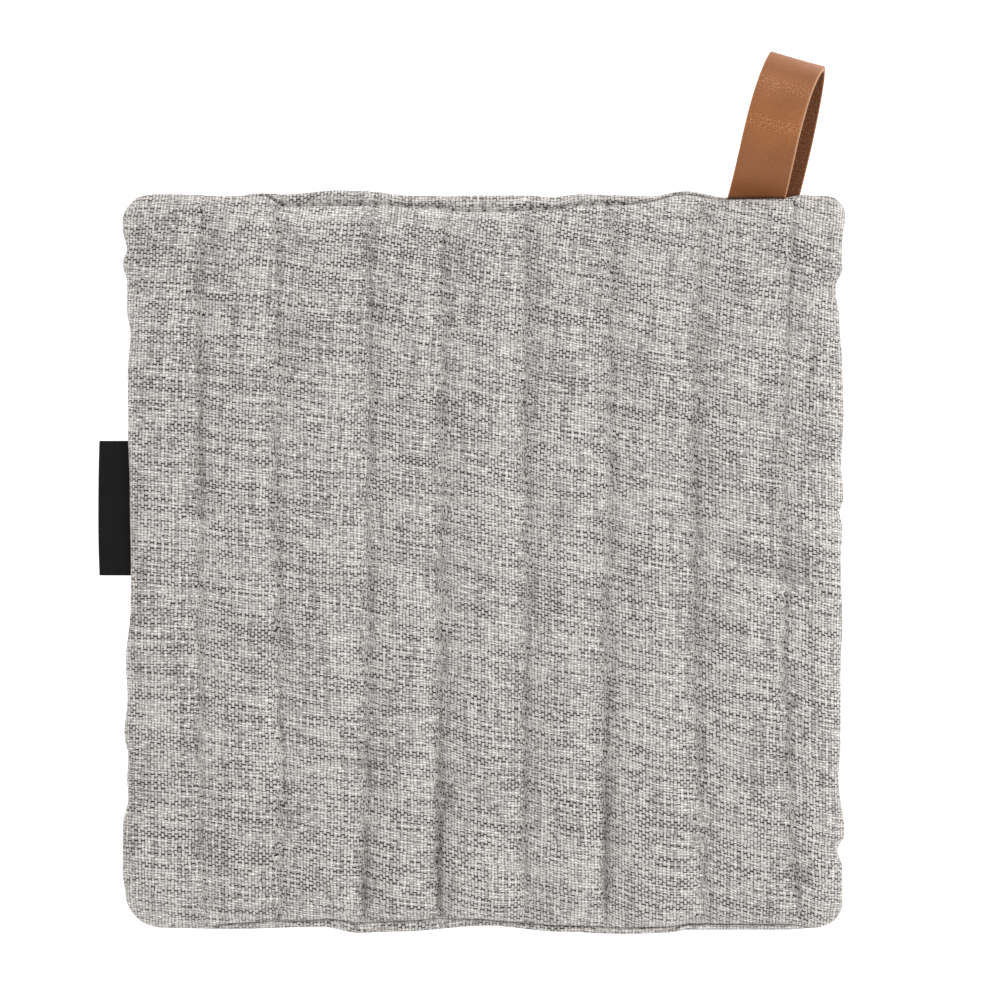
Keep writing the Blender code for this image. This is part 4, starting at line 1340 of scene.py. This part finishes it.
def grain_leather():
    """Smooth tan leather with a fine speckled grain, with painted shade where it goes into the seam and a
    painted sheen over its two bends.
    """
    finish = Finish("grain_leather", Specular_IOR_Level=0.35)
    a, s = finish.map("leather")
    pebbles = finish.cells(a * PEBBLE_RATE, s * PEBBLE_RATE)
    speckle = finish.noise(a * SPECKLE_RATE, s * SPECKLE_RATE, 2.0, detail=2.0, rough=0.7)
    cloudy = finish.noise(a * 0.1, s * 0.08, 3.0, detail=2.0)
    # Painted glints: the grain's flecks grow stronger in the two painted sheen bands.
    first, second = ((s - middle).size().step_between(SHEEN_BAND_REACH, 0.0) for middle in SHEEN_BAND_MIDDLES)
    flecks_and_glints = (speckle - 0.5) * ((first + second) * SHEEN_BAND_GLINTS + FLECKS)
    tone = cloudy * 0.25 + flecks_and_glints + 0.375
    tan = finish.ramp(tone, (0.3, LEATHER_LOW), (0.7, LEATHER_HIGH), (1.0, LEATHER_FLECK_AND_GLINT))
    # Painted shade where the strap bends down into the seam, and a painted shadow line under the seam's lip.
    off_seam = out_of_seam(a, s)
    tan = finish.blended(off_seam.step_between(*SEAM_SHADE_FADE), LEATHER_SEAM_SHADE, tan)
    tan = finish.blended(off_seam.step_between(*LIP_SHADOW_FADE), LEATHER_LIP_SHADOW, tan)
    # Painted light along the strap: a painted sheen over its two bends, and painted shade elsewhere.
    shades = [(at / PAINTED_LIGHT_LENGTH, (bright / FULL_TONE,) * 3) for at, bright in LEATHER_PAINTED_LIGHT]
    shade = finish.ramp(s / PAINTED_LIGHT_LENGTH, *shades)
    finish.color(finish.times(finish.times(tan, (FULL_TONE,) * 3), shade))
    finish.roughness(speckle * 0.3 + 0.25)
    finish.bump(pebbles * 0.5 + speckle * 0.6, 0.17)
    return finish.material


def cut_leather():
    """The strap's raw edge: pale fibres, with painted shadow where it goes into the seam."""
    finish = Finish("cut_leather_edge", Roughness=0.7)
    a, s = finish.map("leather")
    fibres = finish.noise(a * 9.0, s * 2.0, detail=3.0)
    pale = finish.ramp(fibres, (0.3, (0.3, 0.13, 0.056)), (0.7, (0.49, 0.25, 0.125)))
    # Painted shadow where the edge goes under the seam's lip.
    off_seam = out_of_seam(a, s).step_between(0.0, 0.9)
    finish.color(finish.blended(off_seam, (0.06, 0.028, 0.016), pale))
    finish.bump(fibres, 0.08)
    return finish.material


def suede_leather():
    """The strap's napped inner side."""
    finish = Finish("suede_leather", Roughness=0.95, Specular_IOR_Level=0.1, Sheen_Weight=0.3)
    a, s = finish.map("leather")
    nap = finish.noise(a * 1.9, s * 1.9, 5.0, detail=4.0, rough=0.75)
    dark, middle, pale = (0.062, 0.02, 0.006), (0.14, 0.048, 0.018), (0.29, 0.122, 0.054)
    finish.color(finish.ramp(nap, (0.32, dark), (0.5, middle), (0.68, pale)))
    finish.bump(nap, 0.2)
    return finish.material


def label_tape():
    """Black satin tape: fine ribs across it, each broken where its threads dive."""
    finish = Finish("label_tape", Roughness=0.6, Specular_IOR_Level=0.15)
    a, s = finish.map("tape")
    rib, thread = a / RIB_PITCH, s / TAPE_THREAD
    stagger = (rib.floor() * 0.4).fraction()
    along = (thread + stagger).fraction() - 0.5
    across = rib.fraction() - 0.5
    height = (across.squared() * -4.0 + 1.0).root() * (along.squared() * -3.0 + 1.0)
    # Half of the tone is random, and half is painted shade: darker down between the ribs and where the
    # threads dive.
    tone = finish.noise(rib.floor() * 3.1, s * 0.8, detail=2.0) * 0.5 + height * 0.5
    finish.color(finish.ramp(tone, (0.2, TAPE_DARK), (0.8, TAPE_LIGHT)))
    finish.bump(height, 0.05)
    return finish.material


def floor_paper():
    """White paper that glows a little, so that shadows on it are faint."""
    glow = {"Emission_Color": (1.0, 1.0, 1.0, 1.0), "Emission_Strength": FLOOR_GLOW}
    finish = Finish("floor_paper", Roughness=0.9, Specular_IOR_Level=0.1, **glow)
    x, y, _ = finish.object_places()
    mottle = finish.noise(x * 3.0, y * 3.0, detail=2.0)
    finish.color(finish.ramp(mottle, (0.3, (0.88, 0.88, 0.88)), (0.7, (0.92, 0.92, 0.92))))
    return finish.material


# -------------------- floor, light and camera


def add_floor():
    """A round sheet of paper whose rim curves up, so that no view shows where it ends."""
    around = 2 * np.pi * np.arange(FLOOR_SIDES) / FLOOR_SIDES
    points = [(math.cos(t) * r, math.sin(t) * r, z) for r, z in FLOOR_RINGS for t in around]
    outward = tube_corners(len(FLOOR_RINGS), FLOOR_SIDES)
    upward = ((start, *others[::-1]) for start, *others in outward)
    faces = [list(range(FLOOR_SIDES)), *numbered(upward, FLOOR_SIDES)]
    new_object("floor", new_mesh("floor", points, faces), floor_paper())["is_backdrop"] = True


def add_light(name, place, size, energy):
    data = bpy.data.lights.new(name, "AREA")
    data.shape = "DISK"
    data.size = size
    data.energy = energy
    light = placed(bpy.data.objects.new(name, data))
    light.location = place
    light.rotation_euler = Vector(place).to_track_quat("Z", "Y").to_euler()


def add_sky():
    world = bpy.data.worlds.new("studio")
    world.use_nodes = True
    background = world.node_tree.nodes["Background"]
    background.inputs["Color"].default_value = (1.0, 1.0, 1.0, 1.0)
    background.inputs["Strength"].default_value = SKY_STRENGTH
    bpy.context.scene.world = world


def add_camera():
    data = bpy.data.cameras.new("camera")
    data.sensor_width = SENSOR
    data.lens = SENSOR * (CAMERA_HEIGHT - SCALE_HEIGHT) / (PHOTO_SIZE * PHOTO_PITCH)
    data.clip_start, data.clip_end = 0.05, 20
    camera = placed(bpy.data.objects.new("camera", data))
    camera.location = (PHOTO_MIDDLE[0] * MM, PHOTO_MIDDLE[1] * MM, CAMERA_HEIGHT * MM)
    bpy.context.scene.camera = camera


# ----------------------------------- the scene


def main():
    cloth, thread = marled_cloth(), sewing_thread()
    pad_mesh = PadMesh()
    pad = new_object("quilted_pad", pad_mesh.build(), cloth)
    seams = [channel_stitches(pad_mesh, thread), closing_stitches(pad_mesh, thread)]
    loop = build_loop(grain_leather(), cut_leather(), suede_leather())
    label = build_label(label_tape())

    for piece in (pad, *seams, loop, label):
        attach(piece, "root")
    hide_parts("pad")
    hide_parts("hanging_loop")
    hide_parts("side_label")

    add_floor()
    add_sky()
    for lamp in LAMPS:
        add_light(*lamp)
    add_camera()
    bpy.context.scene.view_settings.view_transform = "Standard"


main()
boxes = {"cad": cad_box, "visual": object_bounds()}
{name: [list(corner) for corner in box] for name, box in boxes.items()}
